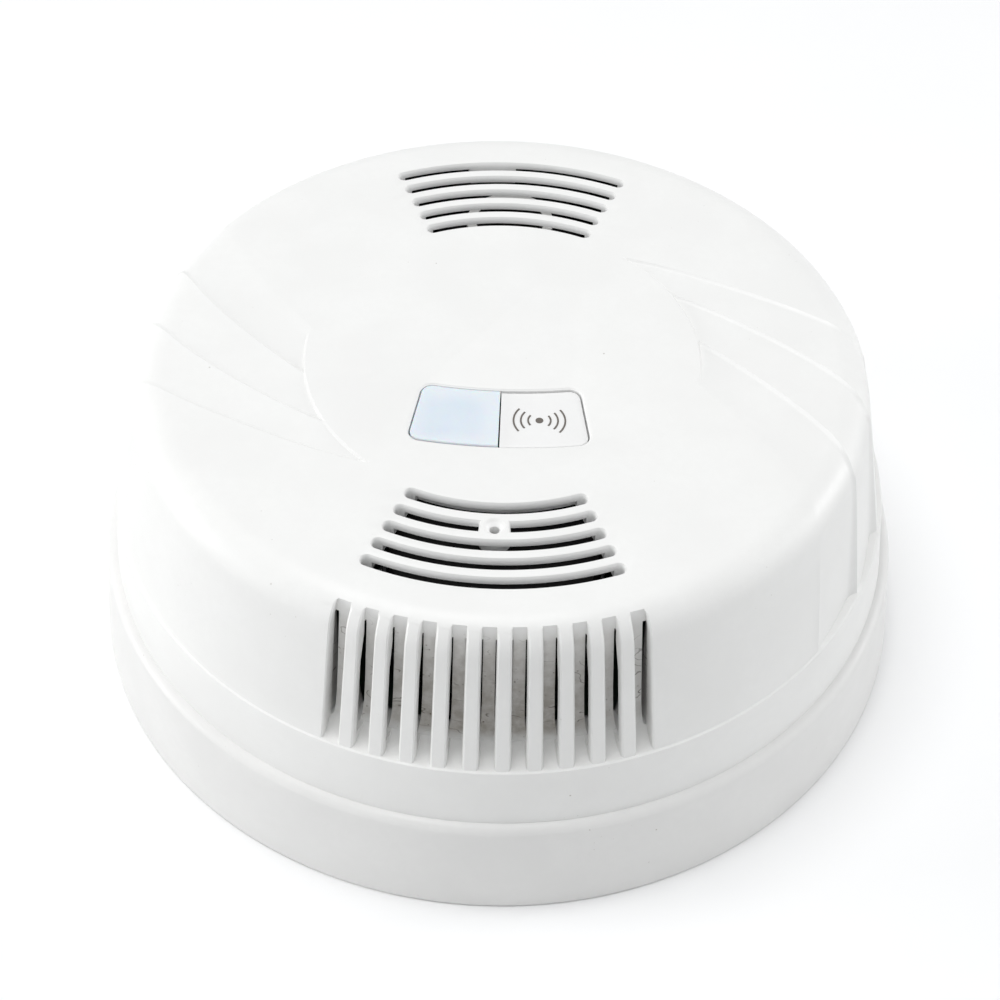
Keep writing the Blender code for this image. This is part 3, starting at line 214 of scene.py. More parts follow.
# Procedural surfaces ---------------------------------------------------------------------
class Surface:
    """Builds one node material; every pattern is placed by the object's own coordinates."""

    def __init__(self, name, roughness, **sockets):
        self.material = bpy.data.materials.new(name)
        self.material.use_nodes = True
        self.nodes = self.material.node_tree.nodes
        self.links = self.material.node_tree.links
        self.shader = self.nodes["Principled BSDF"]
        self.shader.inputs["Roughness"].default_value = roughness
        for socket, value in sockets.items():
            self.shader.inputs[socket.replace("_", " ")].default_value = value
        self.place = self.nodes.new("ShaderNodeTexCoord").outputs["Object"]

    def link(self, source, target):
        self.links.new(source, target)

    def noise(self, size, detail=3.0, rough=0.55, stretch=None):
        """Noise from 0 to 1 with lumps of about the given size in metres."""
        node = self.nodes.new("ShaderNodeTexNoise")
        node.inputs["Scale"].default_value = 1.0 / size
        node.inputs["Detail"].default_value = detail
        node.inputs["Roughness"].default_value = rough
        place = self.place
        if stretch:
            mapping = self.nodes.new("ShaderNodeMapping")
            mapping.inputs["Scale"].default_value = stretch
            self.link(place, mapping.inputs["Vector"])
            place = mapping.outputs["Vector"]
        self.link(place, node.inputs["Vector"])
        return node.outputs["Fac"]

    def spots(self, size):
        """Distance from scattered points, 0 at each one."""
        node = self.nodes.new("ShaderNodeTexVoronoi")
        node.inputs["Scale"].default_value = 1.0 / size
        self.link(self.place, node.inputs["Vector"])
        return node.outputs["Distance"]

    def ramp(self, value, low, high, from_value=0.0, to_value=1.0):
        """A smooth step of a value between two limits."""
        node = self.nodes.new("ShaderNodeMapRange")
        node.interpolation_type = "SMOOTHSTEP"
        node.inputs["From Min"].default_value = low
        node.inputs["From Max"].default_value = high
        node.inputs["To Min"].default_value = from_value
        node.inputs["To Max"].default_value = to_value
        self.link(value, node.inputs["Value"])
        return node.outputs["Result"]

    def math(self, operation, a, b=0.0):
        node = self.nodes.new("ShaderNodeMath")
        node.operation = operation
        for socket, value in zip(node.inputs, (a, b)):
            if isinstance(value, float):
                socket.default_value = value
            else:
                self.link(value, socket)
        return node.outputs["Value"]

    def times(self, *values):
        product = values[0]
        for value in values[1:]:
            product = self.math("MULTIPLY", product, value)
        return product

    def from_axis(self, x, y):
        """Distance from an upright axis."""
        return self.math("SQRT", self.math("ADD", self.times(x, x), self.times(y, y)))

    def blend(self, mask, under, over):
        """One colour over another, by a mask; either may be a colour or a socket."""
        node = self.nodes.new("ShaderNodeMix")
        node.data_type = "RGBA"
        self.link(mask, node.inputs["Factor"])
        for socket, value in ((node.inputs[6], under), (node.inputs[7], over)):
            if isinstance(value, tuple):
                socket.default_value = (*value, 1.0)
            else:
                self.link(value, socket)
        return node.outputs[2]

    def axis(self, index):
        node = self.nodes.new("ShaderNodeSeparateXYZ")
        self.link(self.place, node.inputs["Vector"])
        return node.outputs[index]

    def relief(self, height, depth, strength=1.0, under=None):
        """Bump of a real depth in metres, laid over another one if given."""
        node = self.nodes.new("ShaderNodeBump")
        node.inputs["Distance"].default_value = depth
        node.inputs["Strength"].default_value = strength
        self.link(height, node.inputs["Height"])
        if under:
            self.link(under, node.inputs["Normal"])
        return node.outputs["Normal"]

    def done(self, colour, roughness=None, normal=None):
        self.link(colour, self.shader.inputs["Base Color"])
        if roughness:
            self.link(roughness, self.shader.inputs["Roughness"])
        if normal:
            self.link(normal, self.shader.inputs["Normal"])
        return self.material


def plastic(name, colour, shade, roughness=0.42, specks=0.5, speck_colour=(0.30, 0.26, 0.21), grain=0.000012,
            marks_and_painted_light=None, **sockets):
    """Moulded plastic: faint mottling, spark-eroded grain, scattered dirt specks and rubbed patches."""
    s = Surface(name, roughness, **sockets)
    mottled = s.blend(s.ramp(s.noise(0.011, 4.0), 0.35, 0.65), colour, shade)
    fine = s.blend(s.ramp(s.noise(0.0012, 2.0), 0.40, 0.62, 0.0, 0.35), mottled, shade)
    dots = s.ramp(s.spots(0.0042), 0.020, 0.036, 1.0, 0.0)
    scattered = s.times(dots, s.ramp(s.noise(0.019, 2.0), 0.52, 0.66, 0.0, specks))
    small_dots = s.ramp(s.spots(0.0016), 0.030, 0.065, 1.0, 0.0)
    tiny = s.times(small_dots, s.ramp(s.noise(0.009, 2.0), 0.54, 0.70, 0.0, specks * 0.7))
    painted = s.blend(s.math("MAXIMUM", scattered, tiny), fine, speck_colour)
    # An optional hook lays further marks over the colour: dirt, and on some pieces painted shade or painted
    # light
    if marks_and_painted_light:
        painted = marks_and_painted_light(s, painted)
    gloss = s.math("ADD", s.ramp(s.noise(0.0075, 5.0), 0.30, 0.70, roughness - 0.06, roughness + 0.07),
                   s.ramp(s.noise(0.00035, 2.0), 0.30, 0.70, -0.02, 0.03))
    wavy = s.relief(s.noise(0.013, 1.0), 0.00006)
    grained = s.relief(s.noise(0.00028, 2.0, 0.6), grain, 1.0, wavy)
    return s.done(painted, gloss, grained)


def painted_shade_above(limit):
    """Painted shade: near-black colour on the surfaces inside the alarm that lie above a height, standing in
    for the dark there.
    """
    fade = 0.0006

    def shade(s, clean):
        return s.blend(s.ramp(s.axis(2), limit, limit + fade), clean, PAINTED_SHADE_BLACK)
    return shade


def port_painted_shade(s, clean):
    """Painted shade: near-black colour on the sounder, below the ring of its port and inside it."""
    below = s.ramp(s.axis(2), *PORT_SEAT, 1.0, 0.0)
    bore = s.ramp(s.from_axis(s.axis(0), s.math("SUBTRACT", s.axis(1), PORT_Y)), *PORT_BORE_EDGE, 1.0, 0.0)
    return s.blend(s.math("MAXIMUM", below, bore), clean, PAINTED_SHADE_BLACK)


def grille_dirt_and_painted_light(s, clean):
    """The cover's own marks and painted light: on the grille's panels, thickest in the middle, a beige film
    that is partly dirt and partly painted shade of the recess behind the bars, with grit and a few fibres;
    slot and window walls painted whiter as painted light; near-black painted shade on the inner side."""
    x, y, z = s.axis(0), s.axis(1), s.axis(2)
    radius, sideways = s.from_axis(x, y), s.math("ABSOLUTE", x)
    wall = s.math("ADD", s.times(z, -math.tan(math.radians(WALL_DRAFT))), wall_point(0.0)[0])
    depth = s.math("SUBTRACT", wall, radius)

    # The panels behind the bars are painted beige, deeper with the recess's depth: partly dirt, partly painted
    # shade of the recess
    on_panel = s.times(s.ramp(y, -0.0300, -0.0330), s.ramp(radius, 0.0435, 0.0441))
    behind_bars = s.times(s.ramp(depth, 0.0011, 0.0030), s.ramp(z, 0.0395, 0.0422, 1.0, 0.0))
    place = s.times(behind_bars, s.times(on_panel, s.ramp(z, 0.0242, 0.0262)))
    middle = s.ramp(sideways, 0.0060, 0.0185, 1.0, 0.42)
    patchy = s.ramp(s.noise(0.0016, 5.0, 0.65), 0.30, 0.72, 0.55, 1.0)

    # Painted light: the walls of the slots and the window below the face are painted whiter than the cover,
    # standing in for light that reaches them
    below_face = s.ramp(z, TOP - 0.0004, TOP - 0.0001, 1.0, 0.0)
    among_slots = s.times(s.ramp(sideways, 0.0160, 0.0168, 1.0, 0.0), s.ramp(radius, 0.0412, 0.0415, 1.0, 0.0))
    painted_light_walls = s.blend(s.times(below_face, among_slots), clean, (0.960, 0.960, 0.952))
    dusty_and_shaded = s.blend(s.times(place, middle, patchy), painted_light_walls, (0.37, 0.338, 0.295))

    grains = s.ramp(s.spots(0.0010), 0.07, 0.16, 1.0, 0.0)
    grit = s.times(grains, s.ramp(s.noise(0.0030, 2.0), 0.46, 0.56))
    gritty = s.blend(s.times(grit, place, middle), dusty_and_shaded, (0.16, 0.13, 0.10))
    strand = s.math("ABSOLUTE", s.math("SUBTRACT", s.noise(0.0030, 1.0, 0.5, (1.0, 0.6, 1.7)), 0.52))
    fibre = s.times(s.ramp(strand, 0.006, 0.016, 1.0, 0.0), s.ramp(s.noise(0.0024, 1.0), 0.53, 0.58))
    haired = s.blend(s.times(fibre, place, 0.75), gritty, (0.14, 0.12, 0.10))

    # Painted shade: the cover's inner side under the face and behind the wall is painted near-black, standing
    # in for the dark inside the alarm
    by_shoulder = s.times(s.ramp(z, 0.0417, 0.0420, 1.0, 0.0), s.ramp(radius, 0.0401, 0.0404))
    under_face = s.math("MAXIMUM", s.ramp(z, 0.0402, 0.0406, 1.0, 0.0), by_shoulder)
    inside = s.times(under_face, s.ramp(depth, 0.0017, 0.0020), s.math("SUBTRACT", 1.0, on_panel))
    return s.blend(inside, haired, PAINTED_SHADE_BLACK)


def metal(name, colour, tarnish, roughness=0.30, metallic=1.0):
    s = Surface(name, roughness, Metallic=metallic)
    brushed = s.blend(s.ramp(s.noise(0.0022, 5.0), 0.35, 0.70), colour, tarnish)
    gloss = s.ramp(s.noise(0.0006, 4.0), 0.3, 0.7, roughness - 0.08, roughness + 0.14)
    return s.done(brushed, gloss, s.relief(s.noise(0.0002, 3.0, 0.6), 0.000008))


def circuit_green():
    """Solder mask with copper tracks under it and rows of soldered joints."""
    s = Surface("board_green_fine", 0.38)
    band = s.math("ABSOLUTE", s.math("SUBTRACT", s.noise(0.0042, 1.0), 0.5))
    tracks = s.ramp(band, 0.030, 0.045, 1.0, 0.0)
    mask = s.blend(s.times(tracks, 0.7), (0.003, 0.014, 0.007), (0.006, 0.026, 0.012))
    joints = s.times(s.ramp(s.spots(0.0034), 0.14, 0.17, 1.0, 0.0), s.ramp(s.noise(0.010, 1.0), 0.50, 0.54))
    height = s.math("ADD", s.times(tracks, 0.4), joints)
    gloss = s.ramp(s.noise(0.002, 3.0), 0.3, 0.7, 0.30, 0.46)
    return s.done(s.blend(joints, mask, (0.10, 0.10, 0.095)), gloss, s.relief(height, 0.00005))


def lens_plastic():
    """Pale blue translucent plastic, a little deeper in colour in its middle."""
    s = Surface("lens_blue_fine", 0.16, IOR=1.49, Subsurface_Weight=0.35, Subsurface_Scale=0.002,
                Coat_Weight=0.15)
    pane_middle = (-WINDOW_COLUMN[0], -0.0113)
    across = s.math("ABSOLUTE", s.math("SUBTRACT", s.axis(0), pane_middle[0]))
    along = s.math("ABSOLUTE", s.math("SUBTRACT", s.axis(1), pane_middle[1]))
    inside = s.times(s.ramp(across, 0.0022, 0.0054, 1.0, 0.0), s.ramp(along, 0.0020, 0.0048, 1.0, 0.0))
    cloudy = s.times(inside, s.ramp(s.noise(0.0040, 3.0), 0.25, 0.70, 0.7, 1.0))
    tinted = s.blend(cloudy, (0.765, 0.815, 0.862), (0.685, 0.760, 0.838))
    dots = s.ramp(s.spots(0.0012), 0.03, 0.07, 1.0, 0.0)
    some = s.times(dots, s.ramp(s.noise(0.005, 2.0), 0.55, 0.66, 0.0, 0.35))
    specked = s.blend(some, tinted, (0.42, 0.40, 0.37))
    gloss = s.ramp(s.noise(0.0011, 4.0), 0.35, 0.75, 0.13, 0.26)
    return s.done(specked, gloss, s.relief(s.noise(0.0016, 2.0), 0.000012))


def wrap(name, colour, band):
    """A printed sleeve: one plain band round it, fine scuffs and a slight orange peel."""
    s = Surface(name, 0.34, Coat_Weight=0.2)
    ring = s.ramp(s.axis(0), 0.0150, 0.0151)
    scuffs = s.ramp(s.noise(0.0014, 6.0, 0.7, (1.0, 5.0, 5.0)), 0.62, 0.74, 0.0, 0.35)
    printed = s.blend(ring, s.blend(scuffs, colour, (0.42, 0.43, 0.45)), band)
    gloss = s.ramp(s.noise(0.002, 4.0), 0.3, 0.7, 0.28, 0.44)
    return s.done(printed, gloss, s.relief(s.noise(0.0007, 2.0), 0.00002))


# Front cover -----------------------------------------------------------------------------
def ridge_angle(ridge, radius, height):
    """A ridge's angle where it crosses a ring: it spirals over the face and leans down the wall."""
    shoulder, sweep, hook, lean = ridge
    if height < SHOULDER_CENTRE[1]:
        return shoulder - lean * (SHOULDER_CENTRE[1] - height) / (SHOULDER_CENTRE[1] - WALL_FOOT)
    inward = max((SWIRL_OUTER - max(radius, DISC_RADIUS)) / (SWIRL_OUTER - DISC_RADIUS), 0.0)
    return shoulder + sweep * inward + hook * inward ** HOOK_POWER


def down_wall(height):
    """0 on the face and the shoulder, growing to 1 at the foot of the wall."""
    drop = (SHOULDER_CENTRE[1] - height) / (SHOULDER_CENTRE[1] - WALL_FOOT)
    return min(max(drop, 0.0), 1.0)


def over_face(radius, height):
    """0 beside the disc, growing to 1 where the face meets the shoulder."""
    if height < SHOULDER_CENTRE[1]:
        return 1.0
    return min((radius - DISC_RADIUS) / (SWIRL_OUTER - DISC_RADIUS), 1.0)


def meridians(radius, height, scoop_steps=12, plain_steps=64):
    """(angle, depth fraction, scoop number) for each grid line that crosses a ring, twice round."""
    angles = [ridge_angle(ridge, radius, height) for ridge in RIDGES]
    riser = math.degrees(mix(RISER_WIDTHS, down_wall(height)) / radius)
    power = mix(SCOOP_POWERS, down_wall(height))
    crest_depth = CREST_DEPTH * (1.0 - over_face(radius, height))
    lines = []
    for half in (0.0, 180.0):
        bead = math.degrees(START_BEAD[0] / radius)
        lines.append((half + angles[0] - bead, 0.0, 0))
        lines.append((half + angles[0] - bead / 2.0, 1.0, BEAD))
        for scoop, (start, crest) in enumerate(zip(angles, angles[1:])):
            foot = crest - riser
            begin = crest_depth if scoop else 0.0
            finish = crest_depth if scoop < len(SCOOP_DEPTHS) - 1 else 0.0
            for step in range(scoop_steps + 1):
                part = step / scoop_steps
                fraction = 1.0 - (1.0 - begin) * (1.0 - part) ** power
                lines.append((half + start + (foot - start) * part, fraction, scoop))
            for part, sag in RISER_PROFILE:
                lines.append((half + foot + riser * part, finish + (1.0 - finish) * sag, scoop))
        plain_end = angles[0] + 180.0
        for step in range(plain_steps):
            lines.append((half + angles[-1] + (plain_end - angles[-1]) * step / plain_steps, 0.0, 0))
    return lines


def scoop_depth(radius, height, scoop):
    """How deep a scoop is at its deep side; the middle of the face has none, and the bead stands proud."""
    if scoop == BEAD:
        return -START_BEAD[1] * down_wall(height) ** 0.5
    rise = min(max((radius - DISC_RADIUS) / DISC_STEP, 0.0), 1.0)
    inner, shoulder, foot = SCOOP_DEPTHS[scoop]
    return rise * mix((mix((inner, shoulder), over_face(radius, height)), foot), down_wall(height))


def wall_point(height, inset=0.0):
    """A point of the drafted wall, or of the surface that lies inset from it."""
    angle = math.radians(WALL_DRAFT)
    reach = SHOULDER_RADIUS - inset
    foot = (SHOULDER_CENTRE[0] + reach * math.cos(angle), SHOULDER_CENTRE[1] + reach * math.sin(angle))
    return (foot[0] + (foot[1] - height) * math.tan(angle), height)


def shell_rings():
    """(radius, height, outward slant) of the cover's rings, outer face first, then inner."""
    face = [DISC_RADIUS - DISC_STEP] + [DISC_RADIUS + DISC_STEP * part for part in (0.0, 0.35, 0.7, 1.0)]
    face += [0.0268, 0.0290, 0.0315, 0.0340, 0.0365, 0.0390, 0.0410]
    outer = [(radius, TOP, 90.0) for radius in face]
    for radius, height in arc(SHOULDER_CENTRE, SHOULDER_RADIUS, 90.0, WALL_DRAFT, 14):
        slant = math.degrees(math.atan2(height - SHOULDER_CENTRE[1], radius - SHOULDER_CENTRE[0]))
        outer.append((radius, height, slant))
    wall = (0.0365, 0.0338, 0.0310, 0.0282, 0.0255, WALL_FOOT)
    outer += [(*wall_point(height), WALL_DRAFT) for height in wall]
    corner = 0.00025
    flange = [(LEDGE[0] - corner, LEDGE[1] + corner / 2.0), LEDGE]
    flange += [(LEDGE[0] + corner / 2.0, LEDGE[1] - corner)]
    flange += [(FLANGE_RADIUS, FLANGE_FOOT + corner), (FLANGE_RADIUS - corner, FLANGE_FOOT)]
    inner = [(FLANGE_INNER, FLANGE_FOOT), (FLANGE_INNER, FLANGE_ROOF)]
    inner += [wall_point(INNER_WALL_FOOT, COVER_THICKNESS)]
    inner += arc(SHOULDER_CENTRE, SHOULDER_RADIUS - COVER_THICKNESS, WALL_DRAFT, 90.0, 5)
    return outer, flange + inner


def cover_shell(bm):
    outer, rest = shell_rings()
    rings = []
    for radius, height, slant in outer:
        inward = math.radians(slant)
        ring = []
        for angle, fraction, scoop in meridians(radius, height):
            depth = fraction * scoop_depth(radius, height, scoop)
            ring.append(polar(radius - depth * math.cos(inward), angle, height - depth * math.sin(inward)))
        rings.append(ring)
    for radius, height in rest:
        lines = meridians(radius, min(height, WALL_FOOT))
        rings.append([polar(radius, angle, height) for angle, _, _ in lines])
    skin(bm, rings)


def grille_block(bm):
    """Thickens the front wall up to the back of the grille's panels."""
    low, sunk = 0.0224, 0.0008
    half = GRILLE_HALF_ANGLE + 1.8
    reach = SHOULDER_RADIUS - sunk
    crown = arc(SHOULDER_CENTRE, reach, WALL_DRAFT, 80.0, 6)
    lift = math.sqrt(reach ** 2 - (PANEL_BACK - SHOULDER_CENTRE[0]) ** 2)
    outline = [(PANEL_BACK, low), wall_point(low, sunk)]
    outline += [point for point in crown if point[0] > PANEL_BACK]
    wedge(bm, outline + [(PANEL_BACK, SHOULDER_CENTRE[1] + lift)], FRONT - half, FRONT + half, 24)


def panel_front(height):
    part = (height - PANEL_FOOT[1]) / (PANEL_HEAD[1] - PANEL_FOOT[1])
    return mix((PANEL_FOOT[0], PANEL_HEAD[0]), part)


def surface_radius(height):
    """Radius of the cover's outer surface at a height, in the plain part of its wall."""
    if height < SHOULDER_CENTRE[1] + SHOULDER_RADIUS * math.sin(math.radians(WALL_DRAFT)):
        return wall_point(height)[0]
    rise = min(height - SHOULDER_CENTRE[1], SHOULDER_RADIUS)
    return SHOULDER_CENTRE[0] + math.sqrt(SHOULDER_RADIUS ** 2 - rise ** 2)


def bar_angle(bar):
    """Angle of a bar; the whole numbers just outside the bars give the grille's two ends."""
    if bar < 0:
        return FRONT - GRILLE_HALF_ANGLE
    if bar >= BARS:
        return FRONT + GRILLE_HALF_ANGLE
    return FRONT + BAR_PITCH * (bar - (BARS - 1) / 2.0)


def grille_openings(bm):
    """The openings between the bars. Each flares towards the outside, which rounds the bars' edges,
    and its floor curves up from the sill to the panel."""
    top, outside, rows = 0.0450, 0.0530, 26
    full_depth, least_slope = 0.0034, 0.02       # keep the rows apart where the wall meets the panel
    proud, sill_radius = OPENING_DEPTHS[-1][0], surface_radius(SILL[1])
    for bar in range(BARS + 1):
        sections = []
        for depth, flare in OPENING_DEPTHS:
            left, right = [], []
            for row in range(rows + 1):
                part = row / rows
                height = mix((PANEL_FOOT[1], top), part)
                panel = panel_front(height)
                radius = panel
                if depth is not None:
                    radius = max(surface_radius(height) - depth, panel + (full_depth - depth) * least_slope)
                if depth == proud:
                    radius = outside
                if row == 0:
                    radius = PANEL_FOOT[0] if depth is None else min(sill_radius - depth, outside)
                    run = min(max((radius - PANEL_FOOT[0]) / (SILL[0] - PANEL_FOOT[0]), 0.0), 1.0)
                    fall = 1.0 - (1.0 - run) ** FILLET_POWER
                    height = PANEL_FOOT[1] - (PANEL_FOOT[1] - SILL[1]) * fall
                half = mix(BAR_WIDTHS, part) / 2.0 - flare
                wall = -flare - max(surface_radius(height) - radius, 0.0) * END_SPLAY
                begin = bar_angle(bar - 1) + math.degrees((half if bar > 0 else wall) / radius)
                end = bar_angle(bar) - math.degrees((half if bar < BARS else wall) / radius)
                left.append(polar(radius, begin, height))
                right.append(polar(radius, end, height))
            sections.append(left + right[::-1])
        skin(bm, sections)


def grille_air_gap(bm):
    """The tapering space between the backs of the bars and the panels."""
    low, high, head, inside, skim = 0.0242, 0.0352, 0.0404, 0.05, 0.00005
    outline = [(PANEL_FOOT[0], PANEL_FOOT[1]), (wall_point(low, BAR_DEPTH)[0], low)]
    outline += [wall_point(high, BAR_DEPTH), (panel_front(head) - skim, head)]
    wedge(bm, outline, bar_angle(-1) + inside, bar_angle(BARS) - inside, 24)


def grille_passages(bm):
    """Upright slots through the panels, one behind each bar and one at each end, narrowing to their feet."""
    back, past = PANEL_BACK - 0.0006, 0.0003
    for bar in range(-1, BARS + 1):
        width = PASSAGE_WIDTH if 0 <= bar < BARS else END_PASSAGE_WIDTH
        middle = bar_angle(bar) + END_PASSAGE_TURN * ((bar == BARS) - (bar == -1))
        levels = []
        for height, share in PASSAGE_TAPER:
            half = math.degrees(share * width / 2.0 / PANEL_FOOT[0])
            front = panel_front(height) + past
            corners = ((back, -half), (back, half), (front, half), (front, -half))
            levels.append((height, [polar(radius, middle + side).xy for radius, side in corners]))
        layers(bm, levels)


def slot_outline(radius, start, end, grow=0.0, blunt=(), steps=24):
    """Outline of a curved slot; its ends are round unless they are named blunt."""
    half = SLOT_WIDTH / 2.0 + grow
    far = end + (math.degrees(grow / radius) if "end" in blunt else 0.0)
    near = start - (math.degrees(grow / radius) if "start" in blunt else 0.0)
    outline = arc((0.0, 0.0), radius + half, near, far, steps)
    if "end" not in blunt:
        outline += arc(polar(radius, end), half, end, end + 180.0, 12)[1:-1]
    outline += arc((0.0, 0.0), radius - half, far, near, steps)
    if "start" not in blunt:
        outline += arc(polar(radius, start), half, start + 180.0, start + 360.0, 12)[1:-1]
    return outline


def slot_cut(bm, *shape, **ends):
    """A slot through the face whose upper edge is rounded."""
    width, depth = SLOT_EDGE
    steps = [(TOP - COVER_THICKNESS - THROUGH, 0.0)]
    for along, rise in arc((0.0, 0.0), 1.0, 0.0, 90.0, 5):
        steps.append((TOP - depth * (1.0 - rise), width * (1.0 - along)))
    steps += [(TOP + THROUGH, width + THROUGH)]
    layers(bm, [(height, slot_outline(*shape, grow=grow, **ends)) for height, grow in steps])


def face_cuts(bm):
    """Five curved slots over the front grille and five opposite it, the boss's pin hole and the window."""
    low = TOP - COVER_THICKNESS - THROUGH
    for middle in (REAR, FRONT):
        start, end = middle - FAN_HALF_ANGLE, middle + FAN_HALF_ANGLE
        for index in range(SLOTS):
            radius = SLOT_FIRST_RADIUS + SLOT_PITCH * index
            if middle == FRONT and index == BOSS_SLOT:
                slot_cut(bm, radius, start, middle - BOSS_HALF_ANGLE, blunt=("end",))
                slot_cut(bm, radius, middle + BOSS_HALF_ANGLE, end, blunt=("start",))
            else:
                slot_cut(bm, radius, start, end)
    boss = polar(SLOT_FIRST_RADIUS + SLOT_PITCH * BOSS_SLOT, FRONT)
    steps = ((BOSS_FOOT - THROUGH, PIN_HOLE_RADIUS), (TOP - DIMPLE_DEPTH, PIN_HOLE_RADIUS),
             (TOP - DIMPLE_DEPTH * 0.25, DIMPLE_RADIUS * 0.88), (TOP, DIMPLE_RADIUS * 1.12),
             (TOP + THROUGH, DIMPLE_RADIUS * 1.5))
    layers(bm, [(height, arc((boss.x, boss.y), radius, 0.0, 345.0, 23)) for height, radius in steps])
    rim, depth = WINDOW_RIM, WINDOW_RIM_DEPTH
    steps = ((low, 0.0), (TOP - depth, 0.0), (TOP - depth * 0.35, rim * 0.42), (TOP, rim),
             (TOP + THROUGH, rim * 3.0))
    span = (-WINDOW_HALF_ANGLE, WINDOW_HALF_ANGLE)
    layers(bm, [(height, window_outline(*span, inset=-grow)) for height, grow in steps])


def fan_pockets(bm):
    """Hollows that leave the face thinner under the slots; the rear one stops short of the last slot."""
    low = TOP - COVER_THICKNESS - THROUGH
    inner, last, outer = FAN_POCKET_RADII
    for middle, wide in ((REAR, last), (FRONT, outer)):
        high = TOP - FAN_THICKNESS[middle]
        start, end = middle - FAN_POCKET_HALF_ANGLE, middle + FAN_POCKET_HALF_ANGLE
        wedge(bm, [(inner, low), (wide, low), (wide, high), (inner, high)], start, end, 20)


def last_pockets(bm):
    """The hollows under the last rear slot, on both sides of the rib that crosses it."""
    overlap, skim = 0.0004, 0.00002
    low = TOP - COVER_THICKNESS - THROUGH
    high = TOP - FAN_THICKNESS[REAR] - skim
    near, far = FAN_POCKET_RADII[1] - overlap, FAN_POCKET_RADII[2]
    band = [(near, low), (far, low), (far, high), (near, high)]
    wedge(bm, band, REAR - FAN_POCKET_HALF_ANGLE + overlap, REAR_RIB[0], 10)
    wedge(bm, band, REAR_RIB[1], REAR + FAN_POCKET_HALF_ANGLE - overlap, 10)


def cover_posts(bm):
    """Hollow posts that the cover screws bite into."""
    profile = [(0.0, POST_HEAD), (POST_RADIUS, POST_HEAD), (POST_RADIUS, POST_FOOT), (POST_BORE, POST_FOOT)]
    profile += [(POST_BORE, POST_BORE_TOP), (0.0, POST_BORE_TOP)]
    for angle in COVER_SCREW_ANGLES:
        x, y, _ = polar(COVER_SCREW_RADIUS, angle)
        turned(bm, profile, 24, (x, y))


def window_outline(start, end, inset=0.0, round_start=True, round_end=True):
    """Outline of the window, or of a piece in it, between two angles about its centre."""
    inner, outer = WINDOW_RADII[0] + inset, WINDOW_RADII[1] - inset
    corner = WINDOW_CORNER - inset
    first = FRONT + start + (math.degrees(inset / outer) if round_start else 0.0)
    last = FRONT + end - (math.degrees(inset / outer) if round_end else 0.0)
    turn = math.degrees(corner / outer)
    from_angle = first + (turn if round_start else 0.0)
    to_angle = last - (turn if round_end else 0.0)

    def rounded(radius, angle, begin, finish):
        middle = polar(radius, angle)
        return arc((WINDOW_CENTRE[0] + middle.x, WINDOW_CENTRE[1] + middle.y), corner, begin, finish, 10)

    outline = rounded(outer - corner, from_angle, first - 90.0, from_angle) if round_start else []
    edge = arc(WINDOW_CENTRE, outer, from_angle, to_angle, 20)
    outline += edge[int(round_start):len(edge) - int(round_end)]
    if round_end:
        outline += rounded(outer - corner, to_angle, to_angle, last + 90.0)
        outline += rounded(inner + corner, to_angle, last + 90.0, to_angle + 180.0)
    edge = arc(WINDOW_CENTRE, inner, to_angle, from_angle, 20)
    outline += edge[int(round_end):len(edge) - int(round_start)]
    if round_start:
        outline += rounded(inner + corner, from_angle, from_angle + 180.0, first + 270.0)
    return outline


def make_cover(surface):
    bm = bmesh.new()
    cover_shell(bm)
    cover = new_object("cover_shell", bm)
    for shape, operation in ((grille_block, "UNION"), (cover_posts, "UNION"), (grille_openings, "DIFFERENCE"),
                             (grille_air_gap, "DIFFERENCE"), (grille_passages, "DIFFERENCE"),
                             (fan_pockets, "DIFFERENCE"), (last_pockets, "DIFFERENCE"),
                             (pin_boss, "UNION"), (face_cuts, "DIFFERENCE")):
        bm = bmesh.new()
        shape(bm)
        carve(cover, bm, operation)
    finished(cover, "front_cover", "head", surface, 22.0)


def pin_boss(bm):
    x, y, _ = polar(SLOT_FIRST_RADIUS + SLOT_PITCH * BOSS_SLOT, FRONT)
    rod(bm, BOSS_RADIUS, (x, y, BOSS_FOOT), (x, y, TOP - FAN_THICKNESS[FRONT] / 2.0), 36)


# Base ------------------------------------------------------------------------------------
def keyhole(centre_x):
    half = math.degrees(math.asin(KEYHOLE_NECK / KEYHOLE_HEAD))
    entry, end = (centre_x, -KEYHOLE_TRAVEL / 2.0), (centre_x, KEYHOLE_TRAVEL / 2.0)
    return arc(entry, KEYHOLE_HEAD, 90.0 + half, 450.0 - half, 40) + arc(end, KEYHOLE_NECK, 0.0, 180.0, 20)


